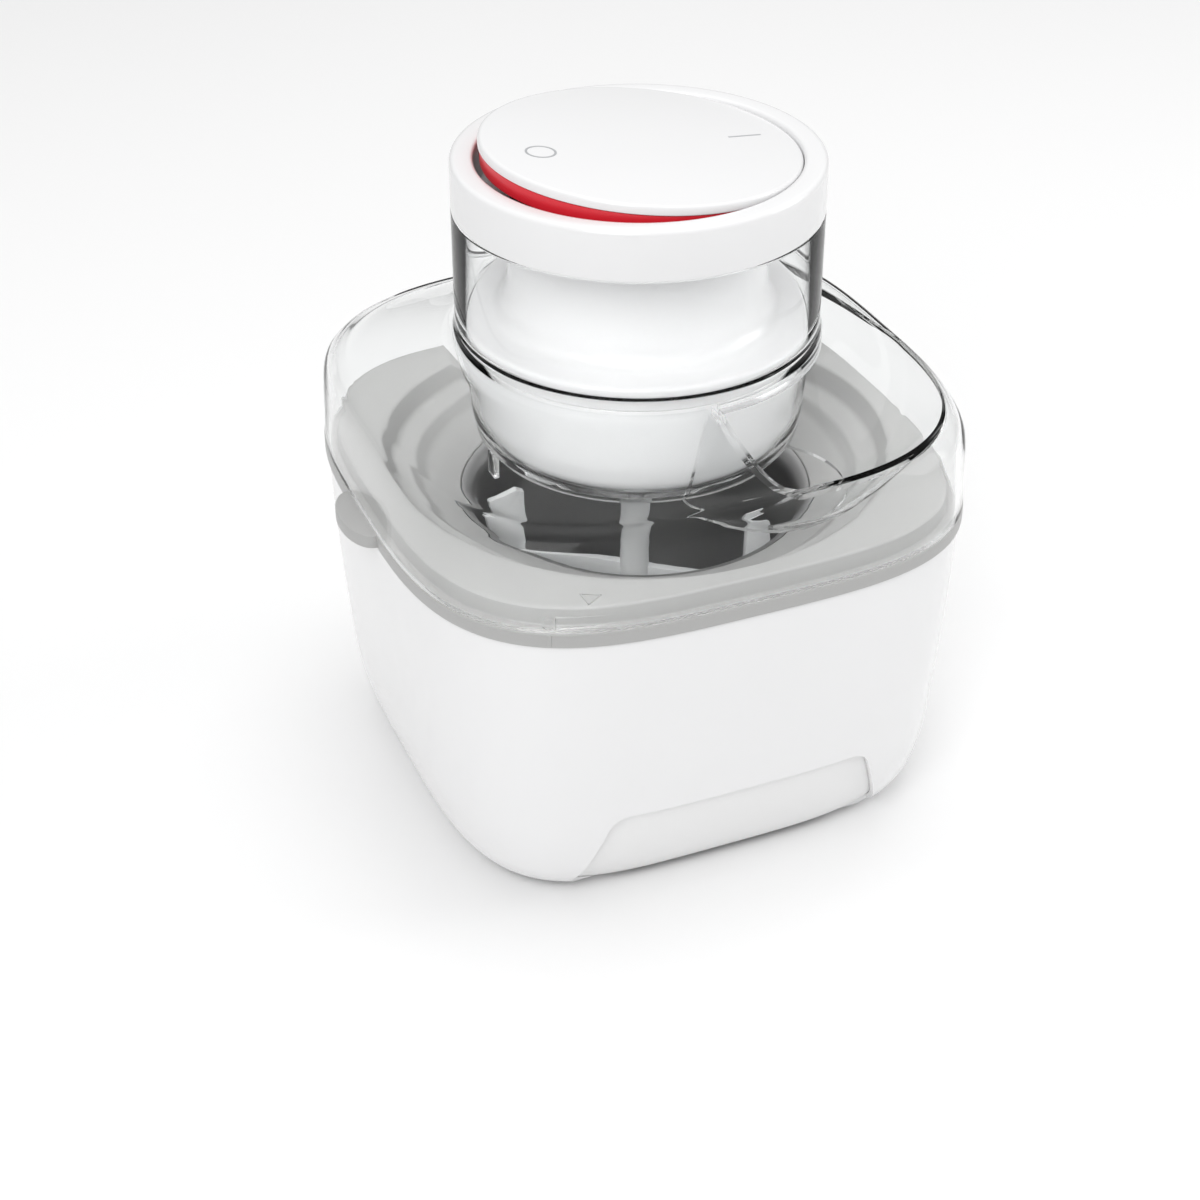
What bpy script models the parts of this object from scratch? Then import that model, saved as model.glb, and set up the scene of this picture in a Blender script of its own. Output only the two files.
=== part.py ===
"""Ice cream maker with a freezer bowl: a squarish base, a lift-out double-walled bowl, a clear lid
with a tower and a pouring chute, and a motor head that drives the mixing paddle from above.

Lengths are in metres, +Z is up, the front is -Y, and the origin is at the middle of the footprint."""

import math

import bmesh
import bpy
from mathutils import Matrix, Vector

# Driving sizes
RIM_HALF = 0.120  # half the width of the squarish outline, at the bowl rim
SQUARENESS = 3.43  # power of the outline: 2 is a circle, more is squarer
BASE_TOP = 0.1363  # top edge of the housing
BASE_BOTTOM = 0.0023  # bottom edge of the housing, above the floor
HOUSING_INSET = 0.00135  # the housing stands this far inside the rim
HOUSING_WALL = 0.0026
BOTTOM_TAPER = 0.0228  # the housing's bottom edge stands this far inside its top
BOTTOM_SQUARER = 0.60  # and its outline is this much squarer
TOUCH = 0.0003  # gap between pieces that rest on each other
SLIDE = 0.0005  # gap between pieces that slide or turn
ROUND = 36  # sides of a large round shape
SMALL_ROUND = 12

# Front cut-out of the housing
WINDOW_TOP = 0.048  # above the floor
WINDOW_TOP_SIDE = 0.064  # from the outline's side to the cut-out, at its top
WINDOW_BOTTOM_SIDE = 0.0475
WINDOW_CORNER = 0.010
WINDOW_DEPTH = 0.045
APRON_OVERLAP = 0.006

# Bottom tray and feet
TRAY_FLOOR = 0.003
FOOT_RADIUS = 0.008
FOOT_SINK = 0.0012  # tray left above a foot's well
FOOT_SETBACK = 0.0230  # foot's axis inside the tray's corner
TRAY_SCREW_SETBACK = 0.0009  # screw's axis inside the tray's corner, beside the two walls there
TRAY_POST_RADIUS = 0.0045
TRAY_POST_TOP = 0.030
WEB_BOTTOM = 0.018
SCREW_RADIUS = 0.0018
SMALL_SCREW_RADIUS = 0.0012
CAP_SCREW_SHANK = 0.0015

# Bowl
TRIM_HEIGHT = 0.0064  # the visible edge of the bowl rim
FLANGE_RISE = 0.0076  # flange above the trim's ledge
FLANGE_INSET = 0.0062  # flange inside the trim
FLANGE_WIDTH = 0.0148  # from the outline's side to the round recess in the flange
RECESS_DEPTH = 0.0098
RECESS_WIDTH = 0.0127
GROOVE_DEPTH = 0.0048
ANNULUS_WIDTH = 0.0192  # sloping ring between the groove and the bowl's mouth
MOUTH_DROP = 0.0108  # slope from the groove down to the mouth
RIM_WALL = 0.0028
RIM_COLLAR = 0.0050  # depth of the locating collar inside the housing
TAB_REACH = 0.0095
TAB_HALF_WIDTH = 0.019
LINER_FLARE = 0.0058
LINER_WALL = 0.0015
LINER_FLOOR = 0.022
LINER_CORNER = 0.012
JACKET_INSET = 0.0040  # the jacket inside the groove's edge
JACKET_WALL = 0.0022
JACKET_BOTTOM = 0.0095
NUB_RADIUS = 0.0050
NUB_HEIGHT = 0.0060

# Paddle
SHAFT_RADIUS = 0.0062
BLADE_CLEARANCE = 0.0020  # blades inside the liner
BLADE_DROP = 0.0306  # blades' top below the flange
ARM_DROP = 0.0315  # cross arms' top below the blades' top
ARM_HEIGHT = 0.0075
BLADE_THICKNESS = 0.0036
PADDLE_FLOOR = 0.0035  # paddle above the bowl's floor
BLADE_TURN = math.radians(146)
BLADE_SLANT = math.radians(28)
DRIVE_HALF = 0.0040  # half the drive square

# Lid
LID_WALL = 0.0024
LID_SHOULDER = 0.0285  # straight height of the skirt
LID_CREST = 0.0412  # skirt's foot to where the dome starts
CREST_INSET = 0.0130
DOME_HEIGHT = 0.0627  # lid's foot to the tower's foot
TOWER_RADIUS = 0.0734
TOWER_HEIGHT = 0.0513
SEAT_STEP = 0.0036  # the neck below the tower is this much narrower
SEAT_RISE = 0.0030  # seat for the head above the tower's foot
NECK_RISE = 0.0127  # bottom of the neck above the lid's foot
NECK_LIP = 0.0158  # width of the ledge at the bottom of the neck
CHUTE_START = math.radians(-90.0)  # the chute's opening, by angle about the head's axis
CHUTE_END = math.radians(22.0)
CHUTE_LEFT_TURN = math.radians(9)  # angle over which each end of the opening swings out
CHUTE_RIGHT_TURN = math.radians(32)
CHUTE_EDGE_INSET = 0.0070  # chute's edge inside the rim's outline
CHUTE_WALL = 0.0018
CHUTE_STEPS = 26
CHUTE_ROWS = 6
NECK_STEPS = 10
HOLE_TURN = math.radians(-68.5)
HOLE_SETBACK = 0.0161  # far side of the chute's foot inside the rim's outline
HOLE_RADIUS = 0.033
HOLE_RISE = 0.0020  # chute's foot above the bottom of the neck

# Head
COLLAR_HEIGHT = 0.0200
COLLAR_FLOOR = 0.0028
COLLAR_RING = 0.0094  # width of the collar's top
HEAD_WALL = 0.0024
SLEEVE_INSET = 0.0204  # the motor sleeve inside the tower's outside
CAP_RISE = 0.0029  # the cap's bottom above the bottom of the neck
PARTING_DROP = 0.0060  # the joint with the cap below the tower's foot
FLANGE_THICKNESS = 0.0023
POST_INSET = 0.0055  # axle posts inside the flange
AXLE_RADIUS = 0.0020
GLAND_RADIUS = 0.0048
GLAND_LEVEL = 0.0090
SOCKET_RADIUS = 0.0100

# Rocker and switch
ROCKER_GAP = 0.0008  # disc inside the well
ROCKER_THICKNESS = 0.0038
ROCKER_TILT = math.radians(4.8)
ROCKER_PROUD = 0.0036  # disc's middle above the collar
PIVOT_DROP = 0.0081  # axle below the collar's top
SKIRT_DEPTH = 0.0066
SWITCH_OFFSET = 0.0200
SWITCH_DROP = 0.0070
SWITCH_HEIGHT = 0.0110
PLUNGER_RADIUS = 0.0018
FINGER_DROP = -0.0020

# Drive
PINION_TEETH = 8
IDLER_TEETH = 30
IDLER_SMALL_TEETH = 10
OUTPUT_TEETH = 40
GEAR_CLEARANCE = 0.0033  # from the gear train to the cap's wall
GEAR_PLAY = 0.0003
MOTOR_CLEARANCE = 0.0066  # motor to the sleeve's wall
MOTOR_HEADROOM = 0.0038  # motor's end to the switch
MOTOR_BOSS = 0.0030
PLATE_RISE = 0.0371  # gear plate above the cap's bottom
PLATE_THICKNESS = 0.0024
MOTOR_SHAFT_RADIUS = 0.0015
IDLER_AXLE_RADIUS = 0.0020
OUTPUT_SHAFT_RADIUS = 0.0030

# What follows from them
TRIM_TOP = BASE_TOP + TOUCH + TRIM_HEIGHT
FLANGE_TOP = TRIM_TOP + FLANGE_RISE
FLANGE_HALF = RIM_HALF - FLANGE_INSET
RECESS_RADIUS = RIM_HALF - FLANGE_WIDTH
GROOVE_RADIUS = RECESS_RADIUS - RECESS_WIDTH
MOUTH_RADIUS = GROOVE_RADIUS - ANNULUS_WIDTH
LINER_RADIUS = MOUTH_RADIUS - LINER_FLARE
JACKET_RADIUS = GROOVE_RADIUS - JACKET_INSET
BLADE_REACH = LINER_RADIUS - BLADE_CLEARANCE
BLADE_TOP = FLANGE_TOP - BLADE_DROP
ARM_START = SHAFT_RADIUS - 0.0005
LID_FOOT = TRIM_TOP + TOUCH
TOWER_FOOT = LID_FOOT + DOME_HEIGHT
TOWER_TOP = TOWER_FOOT + TOWER_HEIGHT
SEAT_TOP = TOWER_FOOT + SEAT_RISE
NECK_TOP = TOWER_FOOT - SEAT_RISE
NECK_RADIUS = TOWER_RADIUS - SEAT_STEP
NECK_BOTTOM = LID_FOOT + NECK_RISE
LIP_RADIUS = NECK_RADIUS - NECK_LIP
HOLE_HEIGHT = NECK_BOTTOM + HOLE_RISE
COLLAR_BOTTOM = TOWER_TOP + TOUCH
COLLAR_TOP = COLLAR_BOTTOM + COLLAR_HEIGHT
WELL_RADIUS = TOWER_RADIUS - COLLAR_RING
ROCKER_RADIUS = WELL_RADIUS - ROCKER_GAP
ROCKER_TOP = COLLAR_TOP + ROCKER_PROUD
ROCKER_PIVOT = COLLAR_TOP - PIVOT_DROP
MOTOR_SLEEVE_RADIUS = TOWER_RADIUS - SLEEVE_INSET
FLANGE_RADIUS = WELL_RADIUS - 0.0020
COLLAR_SCREW_RADIUS = FLANGE_RADIUS - 0.0028
PARTING = TOWER_FOOT - PARTING_DROP
CAP_BOTTOM = NECK_BOTTOM + CAP_RISE
CAP_RADIUS = NECK_RADIUS - LID_WALL - SLIDE
CAP_SCREW_RADIUS = CAP_RADIUS - 0.0219
DRIVE_TOP = CAP_BOTTOM + 0.0111
PLATE_BOTTOM = CAP_BOTTOM + PLATE_RISE
PLATE_TOP = PLATE_BOTTOM + PLATE_THICKNESS
PLATE_RADIUS = CAP_RADIUS - HEAD_WALL - 0.0015
PLATE_SCREW_RADIUS = PLATE_RADIUS - 0.0070
SWITCH_TOP = ROCKER_PIVOT - SWITCH_DROP
MOTOR_LENGTH = SWITCH_TOP - SWITCH_HEIGHT - MOTOR_HEADROOM - MOTOR_BOSS - PLATE_TOP
TRAIN_TEETH = (IDLER_SMALL_TEETH + OUTPUT_TEETH + IDLER_TEETH) / 2 + 0.8
GEAR_MODULE = (CAP_RADIUS - HEAD_WALL - GEAR_CLEARANCE) / TRAIN_TEETH
MOTOR_OFFSET = GEAR_MODULE * (PINION_TEETH + IDLER_TEETH + 2) / 3
MOTOR_RADIUS = MOTOR_SLEEVE_RADIUS - HEAD_WALL - MOTOR_OFFSET - MOTOR_CLEARANCE
PLATE_HALF = RIM_HALF - HOUSING_INSET - BOTTOM_TAPER - HOUSING_WALL - TOUCH  # half the tray's floor
PLATE_CORNER = PLATE_HALF * 2 ** (0.5 - 1 / (SQUARENESS + BOTTOM_SQUARER))  # from the axis
FOOT_SPREAD = (PLATE_CORNER - FOOT_SETBACK) / math.sqrt(2)
TRAY_SCREW_SPREAD = (PLATE_CORNER - 2 * HOUSING_WALL - TRAY_SCREW_SETBACK) / math.sqrt(2)

MATERIALS = {
    "white_gloss": ((0.87, 0.87, 0.87), 0.25, 0.0),
    "grey_plastic": ((0.55, 0.55, 0.56), 0.4, 0.0),
    "clear_plastic": ((0.93, 0.95, 0.96), 0.05, 0.0),
    "liner_metal": ((0.34, 0.34, 0.34), 0.45, 1.0),
    "steel": ((0.62, 0.62, 0.64), 0.3, 1.0),
    "red_plastic": ((0.86, 0.05, 0.08), 0.3, 0.0),
    "white_matte": ((0.82, 0.82, 0.82), 0.5, 0.0),
    "rubber_dark": ((0.06, 0.06, 0.06), 0.8, 0.0),
    "gear_plastic": ((0.80, 0.78, 0.70), 0.5, 0.0),
    "brass": ((0.78, 0.60, 0.28), 0.35, 1.0),
    "coolant_gel": ((0.35, 0.55, 0.80), 0.6, 0.0),
}


def clear_scene():
    for old in list(bpy.data.objects):
        bpy.data.objects.remove(old, do_unlink=True)


def new_collection(name, hidden=False):
    collection = bpy.data.collections.new(name)
    collection.hide_render = hidden
    bpy.context.scene.collection.children.link(collection)
    return collection


def make_materials():
    made = {}
    for name, (colour, roughness, metallic) in MATERIALS.items():
        material = bpy.data.materials.new(name)
        material.use_nodes = True
        shader = material.node_tree.nodes["Principled BSDF"]
        shader.inputs["Base Color"].default_value = (*colour, 1.0)
        shader.inputs["Roughness"].default_value = roughness
        shader.inputs["Metallic"].default_value = metallic
        made[name] = material
    return made


clear_scene()
PARTS = new_collection("ice_cream_maker")
CUTTERS = new_collection("cutters", hidden=True)
FINISH = make_materials()


# ---------------------------------------------------------------- outlines


def squarish(half, power, height, count=ROUND):
    """A superellipse at one height, its points evenly spread in angle. Power 2 gives a circle."""
    points = []
    for step in range(count):
        angle = 2 * math.pi * step / count
        reach = squarish_reach(half, power, angle)
        points.append((reach * math.cos(angle), reach * math.sin(angle), height))
    return points


def squarish_reach(half, power, angle):
    across = abs(math.cos(angle)) ** power + abs(math.sin(angle)) ** power
    return half / across ** (1 / power)


def rounded_rise(share, power=1.6):
    """Rises from 0 to 1 like a rounded corner: steep at first, level at the end."""
    share = min(1.0, max(0.0, share))
    return (1 - (1 - share) ** power) ** (1 / power)


# ---------------------------------------------------------------- builders


def add_object(name, mesh, finish, origin=(0, 0, 0), collection=None):
    made = bpy.data.objects.new(name, mesh)
    made.location = origin
    (collection or PARTS).objects.link(made)
    if finish:
        mesh.materials.append(FINISH[finish])
    return made


def tidy_mesh(mesh, smooth_shading=True):
    shape = bmesh.new()
    shape.from_mesh(mesh)
    bmesh.ops.remove_doubles(shape, verts=shape.verts, dist=1e-6)
    bmesh.ops.recalc_face_normals(shape, faces=shape.faces)
    shape.to_mesh(mesh)
    shape.free()
    if smooth_shading:
        mesh.shade_smooth()
        mesh.set_sharp_from_angle(angle=math.radians(35))


def loft(name, sections, finish, ring=False, collection=None):
    """One closed body through a row of outlines. A ring joins its last outline to its first."""
    count = len(sections[0])
    rows = len(sections)
    faces = []
    for row in range(rows if ring else rows - 1):
        after = (row + 1) % rows
        for side in range(count):
            beside = (side + 1) % count
            low, high = row * count, after * count
            faces.append((low + side, low + beside, high + beside, high + side))
    if not ring:
        faces.append(tuple(reversed(range(count))))
        faces.append(tuple((rows - 1) * count + side for side in range(count)))
    mesh = bpy.data.meshes.new(name)
    mesh.from_pydata([point for outline in sections for point in outline], [], faces)
    tidy_mesh(mesh)
    return add_object(name, mesh, finish, collection=collection)


def turned(name, profile, finish, steps=ROUND, ring=True, origin=(0, 0, 0), collection=None):
    """A profile of (radius, height) points turned about Z. A ring's profile closes on itself."""
    twice_area = 0.0
    for (r0, z0), (r1, z1) in zip(profile, profile[1:] + profile[:1]):
        twice_area += r0 * z1 - r1 * z0
    downwards = list(profile) if twice_area < 0 else list(reversed(profile))
    count = len(downwards)
    edges = [(i, (i + 1) % count) for i in range(count if ring else count - 1)]
    mesh = bpy.data.meshes.new(name)
    mesh.from_pydata([(r, 0, z) for r, z in downwards], edges, [])
    made = add_object(name, mesh, finish, origin, collection)
    screw = made.modifiers.new("turn", "SCREW")
    screw.axis = "Z"
    screw.angle = 2 * math.pi
    screw.steps = steps
    screw.render_steps = steps
    screw.use_merge_vertices = True
    screw.merge_threshold = 0.00001
    return made


def flat_piece(name, outlines, low, high, finish, origin=(0, 0, 0), collection=None):
    """A 2D curve of closed outlines, filled and extruded from low to high, then made a mesh."""
    curve = bpy.data.curves.new(name, "CURVE")
    curve.dimensions = "2D"
    curve.fill_mode = "BOTH"
    curve.extrude = (high - low) / 2
    for outline in outlines:
        spline = curve.splines.new("POLY")
        spline.points.add(len(outline) - 1)
        for point, (x, y) in zip(spline.points, outline):
            point.co = (x, y, 0, 1)
        spline.use_cyclic_u = True
    guide = bpy.data.objects.new(name + "_outline", curve)
    PARTS.objects.link(guide)
    bpy.context.view_layer.update()
    graph = bpy.context.evaluated_depsgraph_get()
    mesh = bpy.data.meshes.new_from_object(guide.evaluated_get(graph))
    mesh.transform(Matrix.Translation((0, 0, (low + high) / 2)))
    bpy.data.objects.remove(guide, do_unlink=True)
    mesh.materials.clear()
    tidy_mesh(mesh)
    mesh.name = name
    return add_object(name, mesh, finish, origin, collection)


def block(name, low, high, finish=None, turn=0.0, collection=None):
    """A box between two corners, turned about the middle of the head."""
    shape = bmesh.new()
    bmesh.ops.create_cube(shape, size=1.0)
    size = [b - a for a, b in zip(low, high)]
    centre = [(a + b) / 2 for a, b in zip(low, high)]
    bmesh.ops.scale(shape, vec=size, verts=shape.verts)
    bmesh.ops.translate(shape, vec=centre, verts=shape.verts)
    bmesh.ops.rotate(shape, cent=(0, 0, 0), matrix=Matrix.Rotation(turn, 3, "Z"), verts=shape.verts)
    mesh = bpy.data.meshes.new(name)
    shape.to_mesh(mesh)
    shape.free()
    return add_object(name, mesh, finish, collection=collection)


def rod(name, start, end, radius, finish=None, sides=SMALL_ROUND, collection=None):
    """A solid round bar between two points, its origin at the start."""
    start = Vector(start)
    along = Vector(end) - start
    shape = bmesh.new()
    bmesh.ops.create_cone(
        shape, cap_ends=True, segments=sides, radius1=radius, radius2=radius, depth=along.length
    )
    bmesh.ops.translate(shape, vec=(0, 0, along.length / 2), verts=shape.verts)
    turn = Vector((0, 0, 1)).rotation_difference(along).to_matrix()
    bmesh.ops.rotate(shape, cent=(0, 0, 0), matrix=turn, verts=shape.verts)
    mesh = bpy.data.meshes.new(name)
    shape.to_mesh(mesh)
    shape.free()
    mesh.shade_smooth()
    mesh.set_sharp_from_angle(angle=math.radians(35))
    return add_object(name, mesh, finish, start, collection)


def combine(target, other, operation):
    """Adds a Boolean and puts the other shape with the cutters."""
    for collection in list(other.users_collection):
        collection.objects.unlink(other)
    CUTTERS.objects.link(other)
    other.hide_render = True
    other.display_type = "WIRE"
    boolean = target.modifiers.new(operation.lower(), "BOOLEAN")
    boolean.operation = operation
    boolean.object = other
    boolean.solver = "EXACT"


def join(target, other):
    combine(target, other, "UNION")


def cut(target, other):
    combine(target, other, "DIFFERENCE")


def keep_common(target, other):
    combine(target, other, "INTERSECT")


def around(radius, angle, height=0.0):
    return Vector((radius * math.cos(angle), radius * math.sin(angle), height))


# ---------------------------------------------------------------- base


# Height share and inset of the housing's side, and how much squarer it gets, from top to bottom
SIDE = (
    (1.00, 0.0000, 0.00),
    (0.72, 0.0011, 0.02),
    (0.40, 0.0046, 0.15),
    (0.22, 0.0075, 0.33),
    (0.09, 0.0130, 0.50),
    (0.00, BOTTOM_TAPER, BOTTOM_SQUARER),
)


def housing_side(inward, top=BASE_TOP, bottom=BASE_BOTTOM):
    """Outlines of the housing's side, from top to bottom, moved inward by a wall."""
    outlines = []
    for share, inset, squarer in SIDE:
        half = RIM_HALF - HOUSING_INSET - inset - inward
        outlines.append(squarish(half, SQUARENESS + squarer, bottom + share * (top - bottom)))
    return outlines


def window_outline(grow):
    """Half of the front cut-out's outline is mirrored; its upper corners are round."""
    top = WINDOW_TOP + grow
    low = -0.01
    slope = (WINDOW_TOP_SIDE - WINDOW_BOTTOM_SIDE) / WINDOW_TOP
    lean = math.atan(slope)
    corner_x = RIM_HALF - WINDOW_TOP_SIDE + grow
    radius = WINDOW_CORNER + grow
    reach = radius * math.tan((math.pi / 2 - lean) / 2)
    centre = (corner_x - reach, top - radius)
    right = [(corner_x + slope * (top - low), low)]
    for step in range(5):
        angle = lean + (math.pi / 2 - lean) * step / 4
        right.append((centre[0] + radius * math.cos(angle), centre[1] + radius * math.sin(angle)))
    left = [(-x, z) for x, z in reversed(right)]
    return right + left


def window_prism(name, grow):
    """The cut-out's outline as a prism through the front wall only."""
    outline = [window_outline(grow)]
    prism = flat_piece(name, outline, -WINDOW_DEPTH, WINDOW_DEPTH, None, collection=CUTTERS)
    prism.data.transform(Matrix.Rotation(math.pi / 2, 4, "X"))
    prism.data.transform(Matrix.Translation((0, -RIM_HALF, 0)))
    return prism


def make_base():
    outer = housing_side(0)
    inner = housing_side(HOUSING_WALL)
    housing = loft("base_housing", outer + inner[::-1], "white_gloss", ring=True)
    cut(housing, window_prism("housing_window", 0))

    floor_top = BASE_BOTTOM + TRAY_FLOOR
    power = SQUARENESS + SIDE[-1][2]
    plate = [squarish(PLATE_HALF, power, BASE_BOTTOM), squarish(PLATE_HALF, power, floor_top)]
    tray = loft("base_tray", plate, "white_gloss")
    inward = HOUSING_WALL + TOUCH
    apron = loft(
        "tray_apron",
        housing_side(inward) + housing_side(inward + HOUSING_WALL)[::-1],
        None,
        ring=True,
        collection=CUTTERS,
    )
    keep_common(apron, window_prism("apron_limit", APRON_OVERLAP))
    join(tray, apron)

    hole = SCREW_RADIUS + TOUCH
    for index, (x, y) in enumerate(corners(FOOT_SPREAD)):
        foot_top = floor_top - FOOT_SINK
        side = "front" if y < 0 else "rear"
        hand = "left" if x < 0 else "right"
        turned(
            f"foot_{side}_{hand}",
            [
                (0, 0),
                (FOOT_RADIUS - 0.0008, 0),
                (FOOT_RADIUS, 0.0008),
                (FOOT_RADIUS, foot_top - TOUCH),
                (0, foot_top - TOUCH),
            ],
            "rubber_dark",
            SMALL_ROUND,
            ring=False,
            origin=(x, y, 0),
        )
        cut(tray, rod(f"foot_well_{index}", (x, y, -0.001), (x, y, foot_top), FOOT_RADIUS + TOUCH))
    for index, (x, y) in enumerate(corners(TRAY_SCREW_SPREAD)):
        cut(tray, rod(f"tray_hole_{index}", (x, y, 0), (x, y, 0.02), hole))
        make_screw(f"tray_screw_{index + 1}", (x, y, BASE_BOTTOM - TOUCH), 0.008)
        post = rod(f"tray_post_{index}", (x, y, floor_top + TOUCH), (x, y, TRAY_POST_TOP), TRAY_POST_RADIUS)
        cut(post, rod(f"tray_post_bore_{index}", (x, y, 0), (x, y, WEB_BOTTOM), hole))
        web = block(
            f"tray_web_{index}",
            (TRAY_SCREW_SPREAD * math.sqrt(2), -0.001, WEB_BOTTOM),
            (RIM_HALF * 1.2, 0.001, TRAY_POST_TOP),
            turn=math.atan2(y, x),
        )
        join(post, web)
        keep_common(post, housing_core(f"post_limit_{index}"))
        join(housing, post)


def housing_core(name):
    """The solid inside of the housing's outer surface, just short of it, to trim posts and webs."""
    return loft(name, housing_side(HOUSING_WALL / 2), None, collection=CUTTERS)


def corners(spread):
    return [(x, y) for x in (-spread, spread) for y in (-spread, spread)]


def make_screw(name, head, length, radius=SCREW_RADIUS, up=True):
    """A pan-head screw with its head's bearing face at the given point."""
    sign = 1 if up else -1
    profile = [(0, -0.0016), (0.0024, -0.0014), (0.0031, 0), (radius, 0), (radius, length), (0, length)]
    return turned(name, [(r, sign * z) for r, z in profile], "steel", 8, ring=False, origin=head)


# ---------------------------------------------------------------- bowl


def make_bowl():
    recess = FLANGE_TOP - RECESS_DEPTH
    groove = recess - GROOVE_DEPTH
    mouth = groove - (MOUTH_DROP - GROOVE_DEPTH)
    under = RIM_WALL
    power = SQUARENESS
    locating = RIM_HALF - HOUSING_INSET - HOUSING_WALL - SLIDE
    trim_bottom = BASE_TOP + TOUCH
    edge = 0.0006
    stations = [
        (RIM_HALF - edge, power, TRIM_TOP),
        (RIM_HALF, power, TRIM_TOP - edge),
        (RIM_HALF, power, trim_bottom + edge),
        (RIM_HALF - edge, power, trim_bottom),
        (locating, power, trim_bottom),
        (locating, power, trim_bottom - RIM_COLLAR),
        (locating - under, power, trim_bottom - RIM_COLLAR),
        (FLANGE_HALF - under, power, FLANGE_TOP - under),
        (RECESS_RADIUS + under, 2, FLANGE_TOP - under),
        (RECESS_RADIUS - 0.0005, 2, recess - under),
        (GROOVE_RADIUS + 0.0010, 2, recess - under),
        (GROOVE_RADIUS - 0.0030, 2, groove - under),
        (MOUTH_RADIUS, 2, mouth - under),
        (MOUTH_RADIUS, 2, mouth),
        (GROOVE_RADIUS - 0.0042, 2, groove),
        (GROOVE_RADIUS - 0.0008, 2, recess - 0.0006),
        (GROOVE_RADIUS, 2, recess),
        (RECESS_RADIUS - 0.0033, 2, recess),
        (RECESS_RADIUS - 0.0006, 2, FLANGE_TOP - 0.0008),
        (RECESS_RADIUS + 0.0002, 2, FLANGE_TOP),
        (FLANGE_HALF - 0.0008, power, FLANGE_TOP),
        (FLANGE_HALF, power, FLANGE_TOP - 0.0008),
        (FLANGE_HALF + 0.0004, power, TRIM_TOP),
    ]
    rim = loft("bowl_rim", [squarish(*station) for station in stations], "grey_plastic", ring=True)
    join(rim, make_tab())

    flare_top = mouth - TOUCH
    flare = MOUTH_RADIUS - TOUCH - LINER_RADIUS
    inner = [(MOUTH_RADIUS - TOUCH, flare_top)]
    for step in (1, 2, 3):
        angle = math.pi / 2 * step / 3
        drop = 1.4 * flare * (1 - math.cos(angle))
        inner.append((LINER_RADIUS + flare * (1 - math.sin(angle)), flare_top - drop))
    for step in range(4):
        angle = math.pi / 2 * step / 3
        inner.append(
            (
                LINER_RADIUS - LINER_CORNER * (1 - math.cos(angle)),
                LINER_FLOOR + LINER_CORNER * (1 - math.sin(angle)),
            )
        )
    outer = [(LINER_RADIUS + LINER_WALL, LINER_FLOOR + LINER_CORNER)]
    outer.append((LINER_RADIUS + LINER_WALL, flare_top - 1.4 * flare - 0.002))
    outer.append((MOUTH_RADIUS - TOUCH, flare_top - 0.0018))
    low_outer = [
        (0, LINER_FLOOR - LINER_WALL),
        (LINER_RADIUS + LINER_WALL - LINER_CORNER, LINER_FLOOR - LINER_WALL),
        (LINER_RADIUS + LINER_WALL - 0.3 * LINER_CORNER, LINER_FLOOR - LINER_WALL + 0.3 * LINER_CORNER),
    ]
    nub = [(NUB_RADIUS, LINER_FLOOR), (NUB_RADIUS, LINER_FLOOR + NUB_HEIGHT), (0, LINER_FLOOR + NUB_HEIGHT)]
    turned_cup("bowl_liner", inner + nub + low_outer + outer, "liner_metal", ROUND)

    wall = JACKET_WALL
    underside_slope = (groove - mouth) / (GROOVE_RADIUS - 0.0030 - MOUTH_RADIUS)
    jacket_top = mouth - under + underside_slope * (JACKET_RADIUS - wall - MOUTH_RADIUS) - TOUCH
    jacket = [
        (JACKET_RADIUS - wall, jacket_top),
        (JACKET_RADIUS, jacket_top),
        (JACKET_RADIUS - 0.002, JACKET_BOTTOM + 0.014),
        (JACKET_RADIUS - 0.006, JACKET_BOTTOM + 0.004),
        (JACKET_RADIUS - 0.014, JACKET_BOTTOM),
        (0, JACKET_BOTTOM),
        (0, JACKET_BOTTOM + wall),
        (JACKET_RADIUS - 0.015, JACKET_BOTTOM + wall),
        (JACKET_RADIUS - 0.008, JACKET_BOTTOM + 0.0055),
        (JACKET_RADIUS - 0.002 - wall, JACKET_BOTTOM + 0.015),
    ]
    turned_cup("bowl_jacket", jacket, "grey_plastic", ROUND)

    gap = TOUCH
    low = JACKET_BOTTOM + wall + gap
    inside = LINER_RADIUS + LINER_WALL + gap
    outside = JACKET_RADIUS - 0.002 - wall - gap
    fill_top = flare_top - 1.4 * flare - 0.005
    coolant = [
        (inside, fill_top),
        (outside, fill_top),
        (outside, JACKET_BOTTOM + 0.0155),
        (outside - 0.0062, JACKET_BOTTOM + 0.0065),
        (outside - 0.0130, low),
        (0, low),
        (0, LINER_FLOOR - LINER_WALL - gap),
        (inside - LINER_CORNER, LINER_FLOOR - LINER_WALL - gap),
        (inside - 0.2 * LINER_CORNER, LINER_FLOOR - LINER_WALL + 0.15 * LINER_CORNER),
        (inside, LINER_FLOOR + 0.8 * LINER_CORNER),
    ]
    turned_cup("coolant_fill", coolant, "coolant_gel", ROUND)


def turned_cup(name, profile, finish, steps):
    """A cup's profile has two points on the axis, so the screw runs from one to the other."""
    on_axis = [i for i, (r, _) in enumerate(profile) if r == 0]
    first = on_axis[1]
    return turned(name, profile[first:] + profile[:first], finish, steps, ring=False)


def make_tab():
    """The D-shaped tab on the left of the rim, for lifting the bowl out."""
    low = BASE_TOP + TOUCH + 0.0004
    outline = [(-RIM_HALF + 0.003, -TAB_HALF_WIDTH)]
    for step in range(13):
        angle = -math.pi / 2 + math.pi * step / 12
        outline.append((-RIM_HALF - TAB_REACH * math.cos(angle), TAB_HALF_WIDTH * math.sin(angle)))
    outline.append((-RIM_HALF + 0.003, TAB_HALF_WIDTH))
    return flat_piece("rim_tab", [outline], low, TRIM_TOP - 0.0001, None, collection=CUTTERS)


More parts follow.
